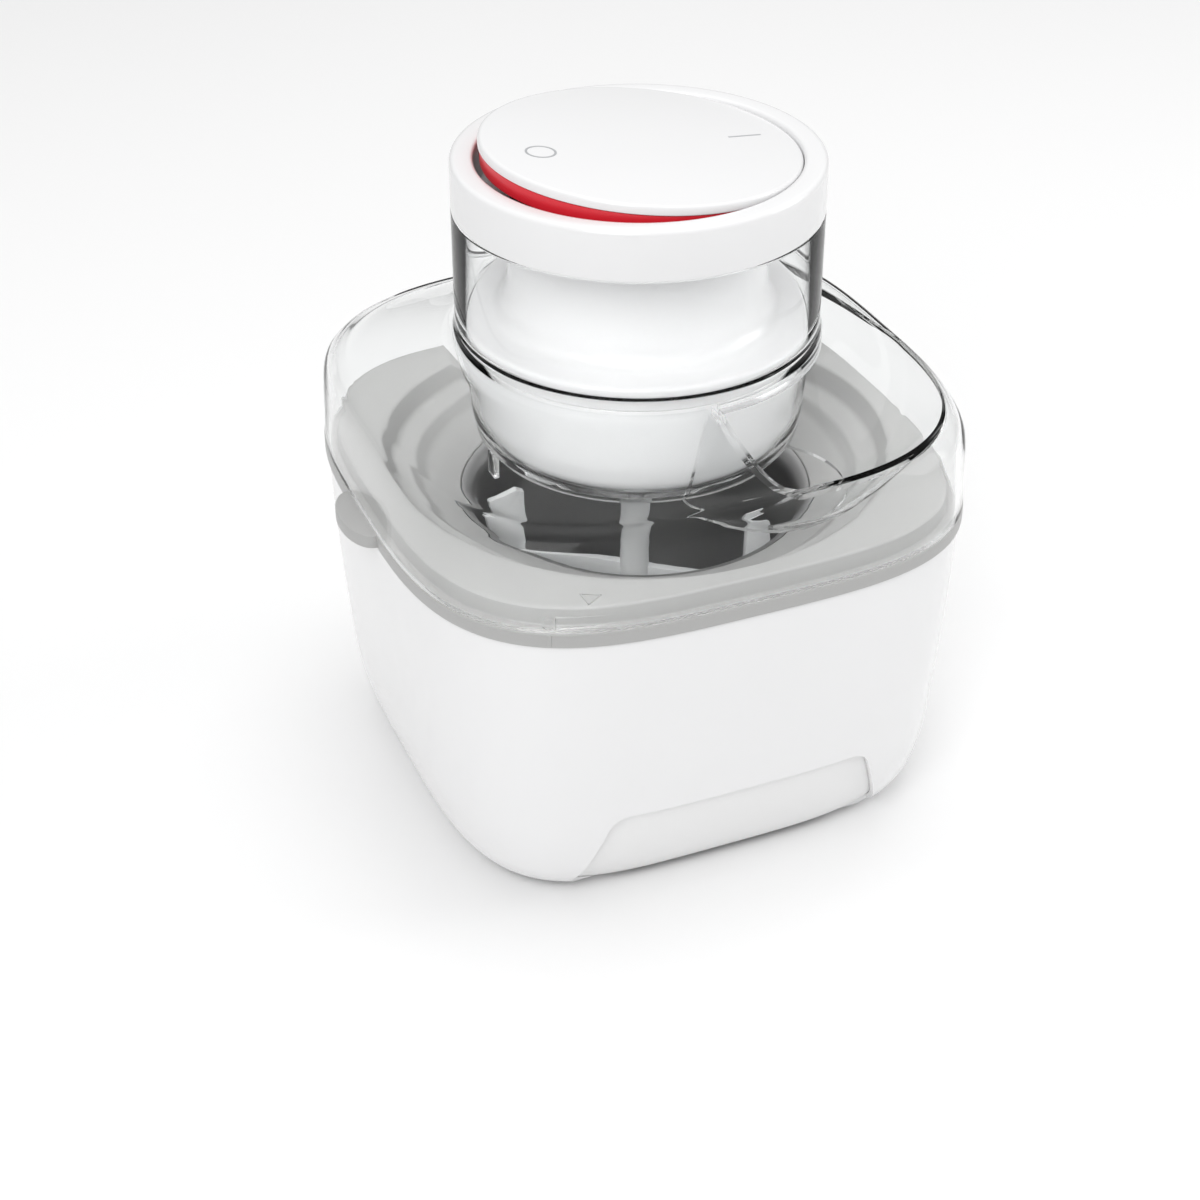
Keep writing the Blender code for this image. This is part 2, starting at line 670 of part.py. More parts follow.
# ---------------------------------------------------------------- paddle


def make_paddle():
    """The mixing paddle: a post, two blades on cross arms, and a scraping bar along the floor."""
    foot = LINER_FLOOR + PADDLE_FLOOR
    socket = NUB_RADIUS + SLIDE
    post_top = NECK_BOTTOM + 0.0015
    post = turned("mixing_paddle", paddle_profile(foot, socket, post_top), "white_matte", 20, ring=False)
    half = DRIVE_HALF
    tip = block("drive_square", (-half, -half, post_top - 0.002), (half, half, DRIVE_TOP - SLIDE))
    join(post, tip)
    flat = BLADE_THICKNESS / 2
    level = BLADE_TOP - ARM_DROP
    for side, turn in (("left", BLADE_TURN), ("right", BLADE_TURN + math.pi)):
        floor_end = (BLADE_REACH - 0.0135, flat, foot + ARM_HEIGHT)
        cross_end = (BLADE_REACH - 0.0095, flat, level)
        join(post, block(f"floor_arm_{side}", (ARM_START, -flat, foot), floor_end, turn=turn))
        join(post, block(f"cross_arm_{side}", (ARM_START, -flat, level - ARM_HEIGHT), cross_end, turn=turn))
        join(post, blade(f"blade_{side}", foot, turn, side == "right"))
    return post


def paddle_profile(foot, socket, post_top):
    collar = SHAFT_RADIUS + 0.0022
    return [
        (0, post_top),
        (SHAFT_RADIUS, post_top),
        (SHAFT_RADIUS, foot + 0.014),
        (collar, foot + 0.010),
        (collar, foot),
        (socket, foot),
        (socket, LINER_FLOOR + NUB_HEIGHT + SLIDE),
        (0, LINER_FLOOR + NUB_HEIGHT + SLIDE),
    ]


def blade(name, foot, turn, stepped):
    """An upright blade, set at a slant to the radius, with a bevelled or a stepped top."""
    low = foot
    outer = BLADE_REACH
    if stepped:
        outline = [
            (outer - 0.020, low),
            (outer - 0.006, low),
            (outer - 0.001, low + 0.008),
            (outer - 0.001, BLADE_TOP - 0.026),
            (outer - 0.007, BLADE_TOP - 0.020),
            (outer - 0.009, BLADE_TOP),
            (outer - 0.018, BLADE_TOP),
            (outer - 0.019, BLADE_TOP - 0.020),
        ]
    else:
        outline = [
            (outer - 0.017, low),
            (outer - 0.006, low),
            (outer - 0.001, low + 0.008),
            (outer - 0.001, BLADE_TOP - 0.004),
            (outer - 0.0145, BLADE_TOP),
            (outer - 0.017, BLADE_TOP - 0.002),
        ]
    half = BLADE_THICKNESS / 2
    made = flat_piece(name, [outline], -half, half, None, collection=CUTTERS)
    made.data.transform(Matrix.Rotation(math.pi / 2, 4, "X"))
    middle = Vector((outer - 0.010, 0, 0))
    slant = Matrix.Translation(middle) @ Matrix.Rotation(BLADE_SLANT, 4, "Z") @ Matrix.Translation(-middle)
    made.data.transform(slant)
    made.data.transform(Matrix.Rotation(turn, 4, "Z"))
    return made


# ---------------------------------------------------------------- lid


def dome_height(share):
    """Height of the dome, from 0 at the shoulder's crest to 1 at the tower's foot."""
    crest = LID_FOOT + LID_CREST
    return crest + share * (TOWER_FOOT - 0.0035 - crest)


def lid_stations():
    """The lid's section as one closed loop: up its outside, down the bore, and back underneath."""
    foot = LID_FOOT
    wall = LID_WALL
    power = SQUARENESS
    rim = RIM_HALF - 0.0003
    shoulder = foot + LID_SHOULDER
    crest = foot + LID_CREST
    crest_half = RIM_HALF - CREST_INSET
    tower = TOWER_RADIUS
    neck = NECK_RADIUS
    outside = [
        (rim, power, foot),
        (rim - 0.0012, power, shoulder),
        (rim - 0.0030, 3.25, shoulder + 0.0068),
        (rim - 0.0070, 3.1, crest - 0.0018),
        (crest_half, 3.0, crest),
        (0.5 * (crest_half + tower) + 0.002, 2.4, dome_height(0.52)),
        (tower + 0.0040, 2, dome_height(1.0)),
        (tower, 2, TOWER_FOOT),
        (tower, 2, TOWER_TOP - 0.0006),
        (tower - 0.0006, 2, TOWER_TOP),
    ]
    bore = [
        (tower - wall, 2, TOWER_TOP),
        (tower - wall, 2, SEAT_TOP),
        (neck - wall + 0.0001, 2, SEAT_TOP - (tower - neck)),
        (neck - wall - 0.0005, 2, TOWER_FOOT - 0.0160),
        (neck - wall - 0.0018, 2, NECK_BOTTOM + 0.0160),
        (neck - wall - 0.0040, 2, NECK_BOTTOM + 0.0075),
        (LIP_RADIUS + 0.004, 2, NECK_BOTTOM + 0.0022),
        (LIP_RADIUS, 2, NECK_BOTTOM + 0.0018),
        (LIP_RADIUS, 2, NECK_BOTTOM),
    ]
    beneath = [
        *neck_outside(),
        (tower + 0.0040, 2, dome_height(1.0) - 1.15 * wall),
        (0.5 * (crest_half + tower) + 0.001, 2.4, dome_height(0.52) - 1.15 * wall),
        (crest_half - 0.0006, 3.0, crest - wall),
        (rim - 0.0082, 3.1, crest - 0.0040),
        (rim - 0.0053, 3.25, shoulder + 0.0058),
        (rim - 0.0012 - wall, power, shoulder),
        (rim - wall, power, foot),
    ]
    return outside + bore + beneath


def neck_outside():
    neck = NECK_RADIUS
    return [
        (neck - 0.0080, 2, NECK_BOTTOM),
        (neck - 0.0034, 2, NECK_BOTTOM + 0.0060),
        (neck - 0.0016, 2, NECK_BOTTOM + 0.0160),
        (neck - 0.0004, 2, TOWER_FOOT - 0.0160),
        (neck, 2, TOWER_FOOT - 0.0058),
    ]


def chute_angles():
    """Angles about the head's axis along the chute's upper edge, closer together at both ends."""
    shares = [(1 - math.cos(math.pi * step / CHUTE_STEPS)) / 2 for step in range(CHUTE_STEPS + 1)]
    return [CHUTE_START + (CHUTE_END - CHUTE_START) * share for share in shares]


def chute_reach(angle):
    """Reach of the chute's upper edge, which leaves the neck at one end and meets it at the other."""
    near = neck_middle(NECK_TOP)
    full = squarish_reach(RIM_HALF - CHUTE_EDGE_INSET, 3.1, angle)
    opening = rounded_rise((angle - CHUTE_START) / CHUTE_LEFT_TURN)
    closing = rounded_rise((CHUTE_END - angle) / CHUTE_RIGHT_TURN)
    return near + (full - near) * min(opening, closing)


def chute_opening():
    """Plan of the hole through the dome, clear of the tower's foot."""
    clear = TOWER_RADIUS + 0.0012
    open_angles = [angle for angle in chute_angles() if chute_reach(angle) > clear + 0.001]
    outer = [around(chute_reach(angle), angle) for angle in open_angles]
    first = math.atan2(outer[0].y, outer[0].x)
    last = math.atan2(outer[-1].y, outer[-1].x)
    back = [around(clear, last + (first - last) * step / NECK_STEPS) for step in range(NECK_STEPS + 1)]
    return [tuple(point.xy) for point in outer + back]


def chute_foot():
    """(angle, reach) along the round hole at the chute's foot, from neck to neck."""
    centre = around(RIM_HALF - HOLE_SETBACK - HOLE_RADIUS, HOLE_TURN)
    near = neck_middle(HOLE_HEIGHT)
    distance = centre.length
    half_angle = math.acos((distance**2 + near**2 - HOLE_RADIUS**2) / (2 * distance * near))
    middle = math.atan2(centre.y, centre.x)
    meets = [around(near, middle - half_angle), around(near, middle + half_angle)]
    first, last = [math.atan2(meet.y - centre.y, meet.x - centre.x) for meet in meets]
    first -= 2 * math.pi * (first > 0)
    last += 2 * math.pi * (last < first)
    found = []
    for step in range(CHUTE_STEPS + 1):
        point = centre + around(HOLE_RADIUS, first + (last - first) * step / CHUTE_STEPS)
        found.append((math.atan2(point.y, point.x), math.hypot(point.x, point.y)))
    return found


def neck_middle(height):
    """Radius of the middle of the neck's wall at a height."""
    outside = [(radius, level) for radius, _, level in neck_outside()]
    for (low_radius, low), (high_radius, high) in zip(outside, outside[1:]):
        if height <= high:
            return low_radius + (high_radius - low_radius) * (height - low) / (high - low) - LID_WALL / 2
    return outside[-1][0] - LID_WALL / 2


def chute_wall():
    """The funnel between the opening in the dome and the hole at its foot, as a sheet given a thickness."""
    sheet = bmesh.new()
    columns = []
    for top_angle, (foot_angle, foot_reach) in zip(chute_angles(), chute_foot()):
        top_reach = chute_reach(top_angle)
        high = min(lid_top_height(around(top_reach, top_angle)) - 0.0010, NECK_TOP)
        beyond_top = top_reach - neck_middle(NECK_TOP)
        beyond_foot = foot_reach - neck_middle(HOLE_HEIGHT)
        column = []
        for row in range(CHUTE_ROWS + 1):
            share = row / CHUTE_ROWS
            height = high + (HOLE_HEIGHT - high) * share
            reach = neck_middle(min(height, NECK_TOP)) + beyond_top + (beyond_foot - beyond_top) * share
            angle = top_angle + (foot_angle - top_angle) * share
            column.append(sheet.verts.new(around(reach, angle, height)))
        columns.append(column)
    for left, right in zip(columns, columns[1:]):
        for row in range(CHUTE_ROWS):
            sheet.faces.new((left[row], right[row], right[row + 1], left[row + 1]))
    mesh = bpy.data.meshes.new("chute_wall")
    sheet.to_mesh(mesh)
    sheet.free()
    wall = add_object("chute_wall", mesh, None, collection=CUTTERS)
    thicken = wall.modifiers.new("thicken", "SOLIDIFY")
    thicken.thickness = CHUTE_WALL
    thicken.offset = 0
    thicken.use_even_offset = True
    return wall


def lid_top_height(point):
    """Height of the lid's outside above a point of its plan, read along its section."""
    angle = math.atan2(point.y, point.x)
    reach = math.hypot(point.x, point.y)
    outside = [(squarish_reach(half, power, angle), height) for half, power, height in lid_stations()[1:8]]
    for (far, low), (near, high) in zip(outside, outside[1:]):
        if near <= reach <= far:
            return low + (high - low) * (far - reach) / (far - near)
    return outside[-1][1] if reach < outside[-1][0] else outside[0][1]


def make_lid():
    lid = loft("lid", [squarish(*station) for station in lid_stations()], "clear_plastic", ring=True)
    space = flat_piece("chute_space", [chute_opening()], HOLE_HEIGHT + 0.010, TOWER_FOOT + 0.010, None)
    cut(lid, space)
    join(lid, chute_wall())
    join(lid, make_lid_lug())


def make_lid_lug():
    """The small locking lug that hangs below the left of the neck."""
    lug = block(
        "neck_lug",
        (-NECK_RADIUS + 0.0048, -0.0035, NECK_BOTTOM - 0.007),
        (-NECK_RADIUS + 0.0072, 0.0035, NECK_BOTTOM + 0.004),
        turn=math.radians(2),
    )
    return lug


# ---------------------------------------------------------------- motor head


def make_head():
    radius = TOWER_RADIUS
    top = COLLAR_TOP
    floor = COLLAR_BOTTOM + COLLAR_FLOOR
    sleeve = MOTOR_SLEEVE_RADIUS
    wall = HEAD_WALL
    collar = turned(
        "head_collar",
        [
            (sleeve + 0.003, COLLAR_BOTTOM),
            (radius - 0.0004, COLLAR_BOTTOM),
            (radius, COLLAR_BOTTOM + 0.0004),
            (radius, top - 0.0024),
            (radius - 0.0007, top - 0.0007),
            (radius - 0.0024, top),
            (WELL_RADIUS + 0.0020, top),
            (WELL_RADIUS + 0.0004, top - 0.0006),
            (WELL_RADIUS, top - 0.0020),
            (WELL_RADIUS, floor),
            (sleeve + 0.003, floor),
        ],
        "white_gloss",
    )
    gland_level = COLLAR_BOTTOM + GLAND_LEVEL
    rear = (0, radius + 0.01, gland_level)
    cut(collar, rod("gland_hole", (0, 0, gland_level), rear, GLAND_RADIUS + TOUCH))
    turned_gland(gland_level)

    flange_low = floor + TOUCH
    flange_high = flange_low + FLANGE_THICKNESS
    seat = SEAT_TOP - (TOWER_RADIUS - NECK_RADIUS)
    seat_gap = TOUCH * math.sqrt(2)
    housing = turned(
        "motor_housing",
        [
            (FLANGE_RADIUS, flange_high),
            (FLANGE_RADIUS, flange_low),
            (sleeve, flange_low),
            (sleeve, TOWER_FOOT + 0.0210),
            (sleeve + 0.0014, TOWER_FOOT + 0.0145),
            (sleeve + 0.0054, TOWER_FOOT + 0.0096),
            (sleeve + 0.0112, TOWER_FOOT + 0.0069),
            (radius - LID_WALL - SLIDE, TOWER_FOOT + 0.0062),
            (radius - LID_WALL - SLIDE, SEAT_TOP + seat_gap - SLIDE),
            (CAP_RADIUS, seat + seat_gap - SLIDE),
            (CAP_RADIUS, PARTING + TOUCH),
            (CAP_RADIUS - wall, PARTING + TOUCH),
            (CAP_RADIUS - wall, TOWER_FOOT + 0.0025),
            (sleeve + 0.0090, TOWER_FOOT + 0.0042),
            (sleeve + 0.0035, TOWER_FOOT + 0.0072),
            (sleeve - 0.0008, TOWER_FOOT + 0.0126),
            (sleeve - wall, TOWER_FOOT + 0.0200),
            (sleeve - wall, flange_high),
        ],
        "white_gloss",
    )
    post_y = FLANGE_RADIUS - POST_INSET
    for hand, sign in (("front", -1), ("rear", 1)):
        low, high = sorted((sign * (post_y - 0.002), sign * (post_y + 0.002)))
        foot = (-0.004, low, flange_high - 0.001)
        post = block(f"axle_post_{hand}", foot, (0.004, high, ROCKER_PIVOT + 0.004))
        join(housing, post)
    cut(
        housing,
        rod("axle_bore", (0, -radius, ROCKER_PIVOT), (0, radius, ROCKER_PIVOT), AXLE_RADIUS + TOUCH),
    )
    rod(
        "rocker_axle",
        (0, -post_y - 0.002, ROCKER_PIVOT),
        (0, post_y + 0.002, ROCKER_PIVOT),
        AXLE_RADIUS,
        "steel",
        12,
    )
    for index in range(3):
        angle = math.radians(120 * index)
        spot = around(COLLAR_SCREW_RADIUS, angle)
        place = (spot.x, spot.y, flange_high + TOUCH)
        make_screw(f"collar_screw_{index + 1}", place, 0.0048, SMALL_SCREW_RADIUS, up=False)
        low = (spot.x, spot.y, floor - 0.0026)
        high = (spot.x, spot.y, top)
        cut(housing, rod(f"collar_hole_{index}", low, high, SMALL_SCREW_RADIUS + TOUCH))
        cut(collar, rod(f"collar_pilot_{index}", low, high, SMALL_SCREW_RADIUS + TOUCH))

    cap = cap_profile(wall)
    cap_body = turned("motor_cap", cap, "white_gloss")
    for index in range(3):
        angle = math.radians(90 + 120 * index)
        spot = around(CAP_SCREW_RADIUS, angle)
        name = f"cap_screw_{index + 1}"
        make_screw(name, (spot.x, spot.y, CAP_BOTTOM - TOUCH), 0.010, CAP_SCREW_SHANK)
        low = (spot.x, spot.y, CAP_BOTTOM - 0.006)
        high = (spot.x, spot.y, CAP_BOTTOM + 0.006)
        cut(cap_body, rod(f"cap_hole_{index}", low, high, CAP_SCREW_SHANK + SLIDE))


def cap_profile(wall):
    """The cap follows the inside of the lid's neck and closes under the gears."""
    top = CAP_RADIUS
    outer = [
        (top, PARTING),
        (top - 0.0005, TOWER_FOOT - 0.0160),
        (top - 0.0018, NECK_BOTTOM + 0.0170),
        (top - 0.0040, CAP_BOTTOM + 0.0063),
        (top - 0.0074, CAP_BOTTOM + 0.0021),
        (top - 0.0120, CAP_BOTTOM + 0.0002),
        (SOCKET_RADIUS + SLIDE, CAP_BOTTOM),
    ]
    inner = [
        (SOCKET_RADIUS + SLIDE, CAP_BOTTOM + wall),
        (top - 0.0130, CAP_BOTTOM + wall),
        (top - 0.0085, CAP_BOTTOM + 0.0047),
        (top - 0.0060, CAP_BOTTOM + 0.0079),
        (top - 0.0042, CAP_BOTTOM + 0.0149),
        (top - wall - 0.0005, TOWER_FOOT - 0.0160),
        (top - wall, PARTING),
    ]
    return outer + inner


def turned_gland(level):
    """The rubber sleeve in the back of the collar, where the supply lead enters."""
    inside = WELL_RADIUS + 0.0006
    outside = TOWER_RADIUS + 0.0062
    bore = 0.0034
    gland = turned(
        "cord_gland",
        [
            (bore, inside),
            (GLAND_RADIUS, inside),
            (GLAND_RADIUS, TOWER_RADIUS + 0.0004),
            (GLAND_RADIUS + 0.0016, TOWER_RADIUS + 0.0004),
            (GLAND_RADIUS + 0.0012, TOWER_RADIUS + 0.0030),
            (GLAND_RADIUS, outside),
            (bore, outside),
        ],
        "rubber_dark",
        SMALL_ROUND,
        origin=(0, 0, level),
    )
    gland.rotation_euler = (-math.pi / 2, 0, 0)
    return gland


def make_rocker():
    """The tilting on/off disc, its red skirt and the lugs that hang on the axle."""
    under = ROCKER_TOP - ROCKER_THICKNESS - ROCKER_PIVOT
    crown = ROCKER_TOP - ROCKER_PIVOT
    radius = ROCKER_RADIUS
    pivot = (0, 0, ROCKER_PIVOT)
    tilt = (0, ROCKER_TILT, 0)
    disc = turned(
        "rocker_disc",
        [
            (0, crown),
            (radius - 0.0060, crown),
            (radius - 0.0016, crown - 0.0005),
            (radius, crown - 0.0018),
            (radius - 0.0002, under),
            (0, under),
        ],
        "white_gloss",
        ring=False,
        origin=pivot,
    )
    disc.rotation_euler = tilt
    for hand, sign in (("front", -1), ("rear", 1)):
        outer = FLANGE_RADIUS - POST_INSET - 0.0065
        low, high = sorted((sign * (outer - 0.003), sign * outer))
        lug = block(f"rocker_lug_{hand}", (-0.005, low, -0.0042), (0.005, high, under + 0.001))
        place_with(disc, lug)
        join(disc, lug)
    finger = block(
        "rocker_finger",
        (SWITCH_OFFSET - 0.002, -0.002, FINGER_DROP),
        (SWITCH_OFFSET + 0.002, 0.002, under + 0.001),
    )
    place_with(disc, finger)
    join(disc, finger)
    reach = FLANGE_RADIUS - 0.010
    cut(disc, rod("rocker_bore", (0, -reach, ROCKER_PIVOT), (0, reach, ROCKER_PIVOT), AXLE_RADIUS + TOUCH))
    skirt = turned(
        "rocker_skirt",
        [
            (radius - 0.0030, under - TOUCH),
            (radius - 0.0008, under - TOUCH),
            (radius - 0.0014, under - SKIRT_DEPTH),
            (radius - 0.0034, under - SKIRT_DEPTH),
        ],
        "red_plastic",
        origin=pivot,
    )
    skirt.rotation_euler = tilt


def place_with(disc, piece):
    piece.location = disc.location
    piece.rotation_euler = disc.rotation_euler


# ---------------------------------------------------------------- drive


def gear_outline(teeth, toward, tooth_on_line):
    """A spur gear's outline with straight-sided teeth, one of them or a gap facing an angle."""
    pitch_radius = GEAR_MODULE * teeth / 2
    tip = pitch_radius + 0.80 * GEAR_MODULE
    root = pitch_radius - 1.05 * GEAR_MODULE
    pitch = 2 * math.pi / teeth
    start = toward if tooth_on_line else toward + pitch / 2
    points = []
    for tooth in range(teeth):
        middle = start + tooth * pitch
        for reach, offset in ((root, -0.30), (tip, -0.10), (tip, 0.10), (root, 0.30)):
            spot = around(reach, middle + offset * pitch)
            points.append((spot.x, spot.y))
    return points


def circle_outline(radius, sides=SMALL_ROUND, centre=(0, 0, 0)):
    return [tuple((Vector(centre) + around(radius, 2 * math.pi * i / sides)).xy) for i in range(sides)]


def idler_place():
    """The idler's axis, at working distance from both the motor's axis and the output's."""
    from_motor = GEAR_MODULE * (PINION_TEETH + IDLER_TEETH) / 2 + GEAR_PLAY
    from_output = GEAR_MODULE * (IDLER_SMALL_TEETH + OUTPUT_TEETH) / 2 + GEAR_PLAY
    x = (from_output**2 - from_motor**2 + MOTOR_OFFSET**2) / (2 * MOTOR_OFFSET)
    return Vector((x, math.sqrt(from_output**2 - x**2), 0))


def make_drive():
    idler = idler_place()
    motor = Vector((MOTOR_OFFSET, 0, 0))
    motor_to_idler = math.atan2(idler.y, idler.x - MOTOR_OFFSET)
    idler_to_motor = motor_to_idler + math.pi
    output_to_idler = math.atan2(idler.y, idler.x)
    idler_to_output = output_to_idler + math.pi
    shaft = MOTOR_SHAFT_RADIUS
    level = CAP_BOTTOM

    def at(place, rise):
        return place + Vector((0, 0, level + rise))

    pinion = [gear_outline(PINION_TEETH, motor_to_idler, True), circle_outline(shaft + TOUCH)]
    flat_piece("motor_pinion", pinion, level + 0.0206, level + 0.0311, "brass", origin=motor)
    shaft_top = motor + Vector((0, 0, PLATE_TOP + 0.0008))
    rod("motor_shaft", at(motor, 0.0196), shaft_top, shaft, "steel")

    axle = IDLER_AXLE_RADIUS
    wheel = [gear_outline(IDLER_TEETH, idler_to_motor, False), circle_outline(axle + TOUCH)]
    idler_gear = flat_piece("idler_gear", wheel, level + 0.0221, level + 0.0276, "gear_plastic", origin=idler)
    small = [gear_outline(IDLER_SMALL_TEETH, idler_to_output, True), circle_outline(axle + TOUCH)]
    small_gear = flat_piece("idler_small", small, level + 0.0126, level + 0.0231, None, origin=idler)
    join(idler_gear, small_gear)
    axle_top = idler + Vector((0, 0, PLATE_BOTTOM - TOUCH))
    rod("idler_axle", at(idler, 0.0051), axle_top, axle, "steel")

    output = OUTPUT_SHAFT_RADIUS
    wheel = [gear_outline(OUTPUT_TEETH, output_to_idler, False), circle_outline(output + TOUCH)]
    flat_piece("output_gear", wheel, level + 0.0136, level + 0.0191, "gear_plastic")
    rod("output_shaft", (0, 0, level + 0.0132), (0, 0, PLATE_TOP - TOUCH), output, "steel")
    socket = turned(
        "drive_socket",
        [
            (0, level + 0.0129),
            (SOCKET_RADIUS + 0.002, level + 0.0129),
            (SOCKET_RADIUS + 0.002, level + HEAD_WALL + SLIDE),
            (SOCKET_RADIUS, level + HEAD_WALL + SLIDE),
            (SOCKET_RADIUS, level + 0.0004),
            (0, level + 0.0004),
        ],
        "gear_plastic",
        20,
        ring=False,
    )
    half = DRIVE_HALF + TOUCH
    cut(socket, block("drive_square_hole", (-half, -half, level - 0.01), (half, half, DRIVE_TOP)))

    screw_spots = [around(PLATE_SCREW_RADIUS, math.radians(150 + 105 * index)) for index in range(3)]
    bush = OUTPUT_SHAFT_RADIUS + 0.0020
    plate_outlines = [
        circle_outline(PLATE_RADIUS, ROUND),
        circle_outline(shaft + 0.001, centre=motor),
        circle_outline(bush + TOUCH),
    ]
    for index, spot in enumerate(screw_spots):
        plate_outlines.append(circle_outline(CAP_SCREW_SHANK + TOUCH, SMALL_ROUND, spot))
        place = (spot.x, spot.y, PLATE_BOTTOM - TOUCH)
        make_screw(f"plate_screw_{index + 1}", place, 0.006, CAP_SCREW_SHANK)
    flat_piece("gear_plate", plate_outlines, PLATE_BOTTOM, PLATE_TOP, "steel")
    turned(
        "output_bush",
        [
            (output + TOUCH, PLATE_BOTTOM - 0.0016),
            (bush + 0.0015, PLATE_BOTTOM - 0.0016),
            (bush + 0.0015, PLATE_BOTTOM - TOUCH),
            (bush, PLATE_BOTTOM - TOUCH),
            (bush, PLATE_TOP),
            (output + TOUCH, PLATE_TOP),
        ],
        "brass",
        SMALL_ROUND,
    )
    motor_low = PLATE_TOP + TOUCH
    motor_high = motor_low + MOTOR_LENGTH
    motor_can = turned(
        "motor_can",
        [
            (0, motor_high + MOTOR_BOSS),
            (0.006, motor_high + MOTOR_BOSS),
            (0.006, motor_high),
            (MOTOR_RADIUS - 0.002, motor_high),
            (MOTOR_RADIUS, motor_high - 0.002),
            (MOTOR_RADIUS, motor_low),
            (0, motor_low),
        ],
        "steel",
        24,
        ring=False,
        origin=motor,
    )
    bore_top = motor + Vector((0, 0, PLATE_TOP + 0.003))
    cut(motor_can, rod("motor_shaft_bore", at(motor, 0), bore_top, shaft + TOUCH))
    make_switch()


def make_switch():
    bottom = SWITCH_TOP - SWITCH_HEIGHT
    body = block(
        "switch_body",
        (SWITCH_OFFSET - 0.006, -0.004, bottom),
        (SWITCH_OFFSET + 0.006, 0.004, SWITCH_TOP),
        "rubber_dark",
    )
    bore_foot = (SWITCH_OFFSET, 0, bottom + 0.0020)
    bore_top = (SWITCH_OFFSET, 0, SWITCH_TOP + 0.01)
    cut(body, rod("plunger_bore", bore_foot, bore_top, PLUNGER_RADIUS + TOUCH))
    pressed = ROCKER_PIVOT + FINGER_DROP - SWITCH_OFFSET * math.sin(ROCKER_TILT) - 2 * TOUCH
    foot = (SWITCH_OFFSET, 0, bottom + 0.0025)
    rod("switch_plunger", foot, (SWITCH_OFFSET, 0, pressed), PLUNGER_RADIUS, "white_matte")


def centre_on_footprint():
    """Moves everything so that the origin is at the middle of the footprint, the tab included."""
    for item in bpy.data.objects:
        item.location.x += TAB_REACH / 2


make_base()
make_bowl()
make_paddle()
make_lid()
make_head()
make_rocker()
make_drive()
centre_on_footprint()
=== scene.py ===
"""Looks for the ice cream maker: detailed shells, clear lid, paddle, switch disc, finishes, light and camera.

Lengths are in metres, +Z is up and the front is -Y."""

import math

import bmesh
import bpy
from mathutils import Matrix, Vector


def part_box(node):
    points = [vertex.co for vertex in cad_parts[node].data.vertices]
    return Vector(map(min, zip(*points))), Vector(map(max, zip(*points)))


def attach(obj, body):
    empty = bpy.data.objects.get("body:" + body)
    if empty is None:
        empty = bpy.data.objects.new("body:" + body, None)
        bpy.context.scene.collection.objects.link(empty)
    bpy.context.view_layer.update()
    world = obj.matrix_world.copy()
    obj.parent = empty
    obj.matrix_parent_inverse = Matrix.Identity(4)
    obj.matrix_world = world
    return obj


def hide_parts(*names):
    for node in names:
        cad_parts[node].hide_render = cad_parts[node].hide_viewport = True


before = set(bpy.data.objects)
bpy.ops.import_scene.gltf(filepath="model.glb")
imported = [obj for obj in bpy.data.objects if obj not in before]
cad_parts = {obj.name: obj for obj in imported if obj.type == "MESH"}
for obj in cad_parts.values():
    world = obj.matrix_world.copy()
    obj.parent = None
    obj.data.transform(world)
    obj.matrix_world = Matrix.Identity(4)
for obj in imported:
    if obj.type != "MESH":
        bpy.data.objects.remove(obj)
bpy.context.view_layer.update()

MM = 0.001
COLUMNS = 192  # points round a large shape
TURN_STEPS = 144

# ---------------------------------------------------------------- places taken from the solid model

BASE_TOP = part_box("base_housing")[1].z
BASE_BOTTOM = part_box("base_housing")[0].z
HOUSING_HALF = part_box("base_housing")[1].y
RIM_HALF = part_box("bowl_rim")[1].y
FLANGE_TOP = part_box("bowl_rim")[1].z
LID_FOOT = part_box("lid")[0].z
TOWER_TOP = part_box("lid")[1].z
COLLAR_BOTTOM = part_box("head_collar")[0].z
COLLAR_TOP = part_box("head_collar")[1].z
TOWER_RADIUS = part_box("head_collar")[1].y
AXIS_X = (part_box("head_collar")[0].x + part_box("head_collar")[1].x) / 2  # axis of the bowl and head
CAP_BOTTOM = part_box("motor_cap")[0].z
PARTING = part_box("motor_cap")[1].z
LINER_FLOOR = 22.0 * MM
PADDLE_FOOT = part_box("mixing_paddle")[0].z
PADDLE_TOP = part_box("mixing_paddle")[1].z

SQUARENESS = 3.43
TRIM_BOTTOM = BASE_TOP + 0.3 * MM
TRIM_TOP = TRIM_BOTTOM + 6.4 * MM
TOWER_FOOT = 206.0 * MM
NECK_RADIUS = TOWER_RADIUS - 3.6 * MM
NECK_BOTTOM = 156.0 * MM
LID_WALL = 2.4 * MM


# ---------------------------------------------------------------- outlines


def squarish_reach(half, power, angle):
    across = abs(math.cos(angle)) ** power + abs(math.sin(angle)) ** power
    return half / across ** (1 / power)


def around(radius, angle, height=0.0):
    return Vector((radius * math.cos(angle), radius * math.sin(angle), height))


def eased(points, per_span=5):
    """A smooth path through a row of number tuples."""
    path = []
    last = len(points) - 1
    for index in range(last):
        before = points[max(index - 1, 0)]
        here, after = points[index], points[index + 1]
        beyond = points[min(index + 2, last)]
        for step in range(per_span):
            t = step / per_span
            path.append(
                tuple(
                    0.5
                    * (
                        2 * b
                        + (c - a) * t
                        + (2 * a - 5 * b + 4 * c - d) * t**2
                        + (3 * b - a - 3 * c + d) * t**3
                    )
                    for a, b, c, d in zip(before, here, after, beyond)
                )
            )
    path.append(tuple(points[-1]))
    return path


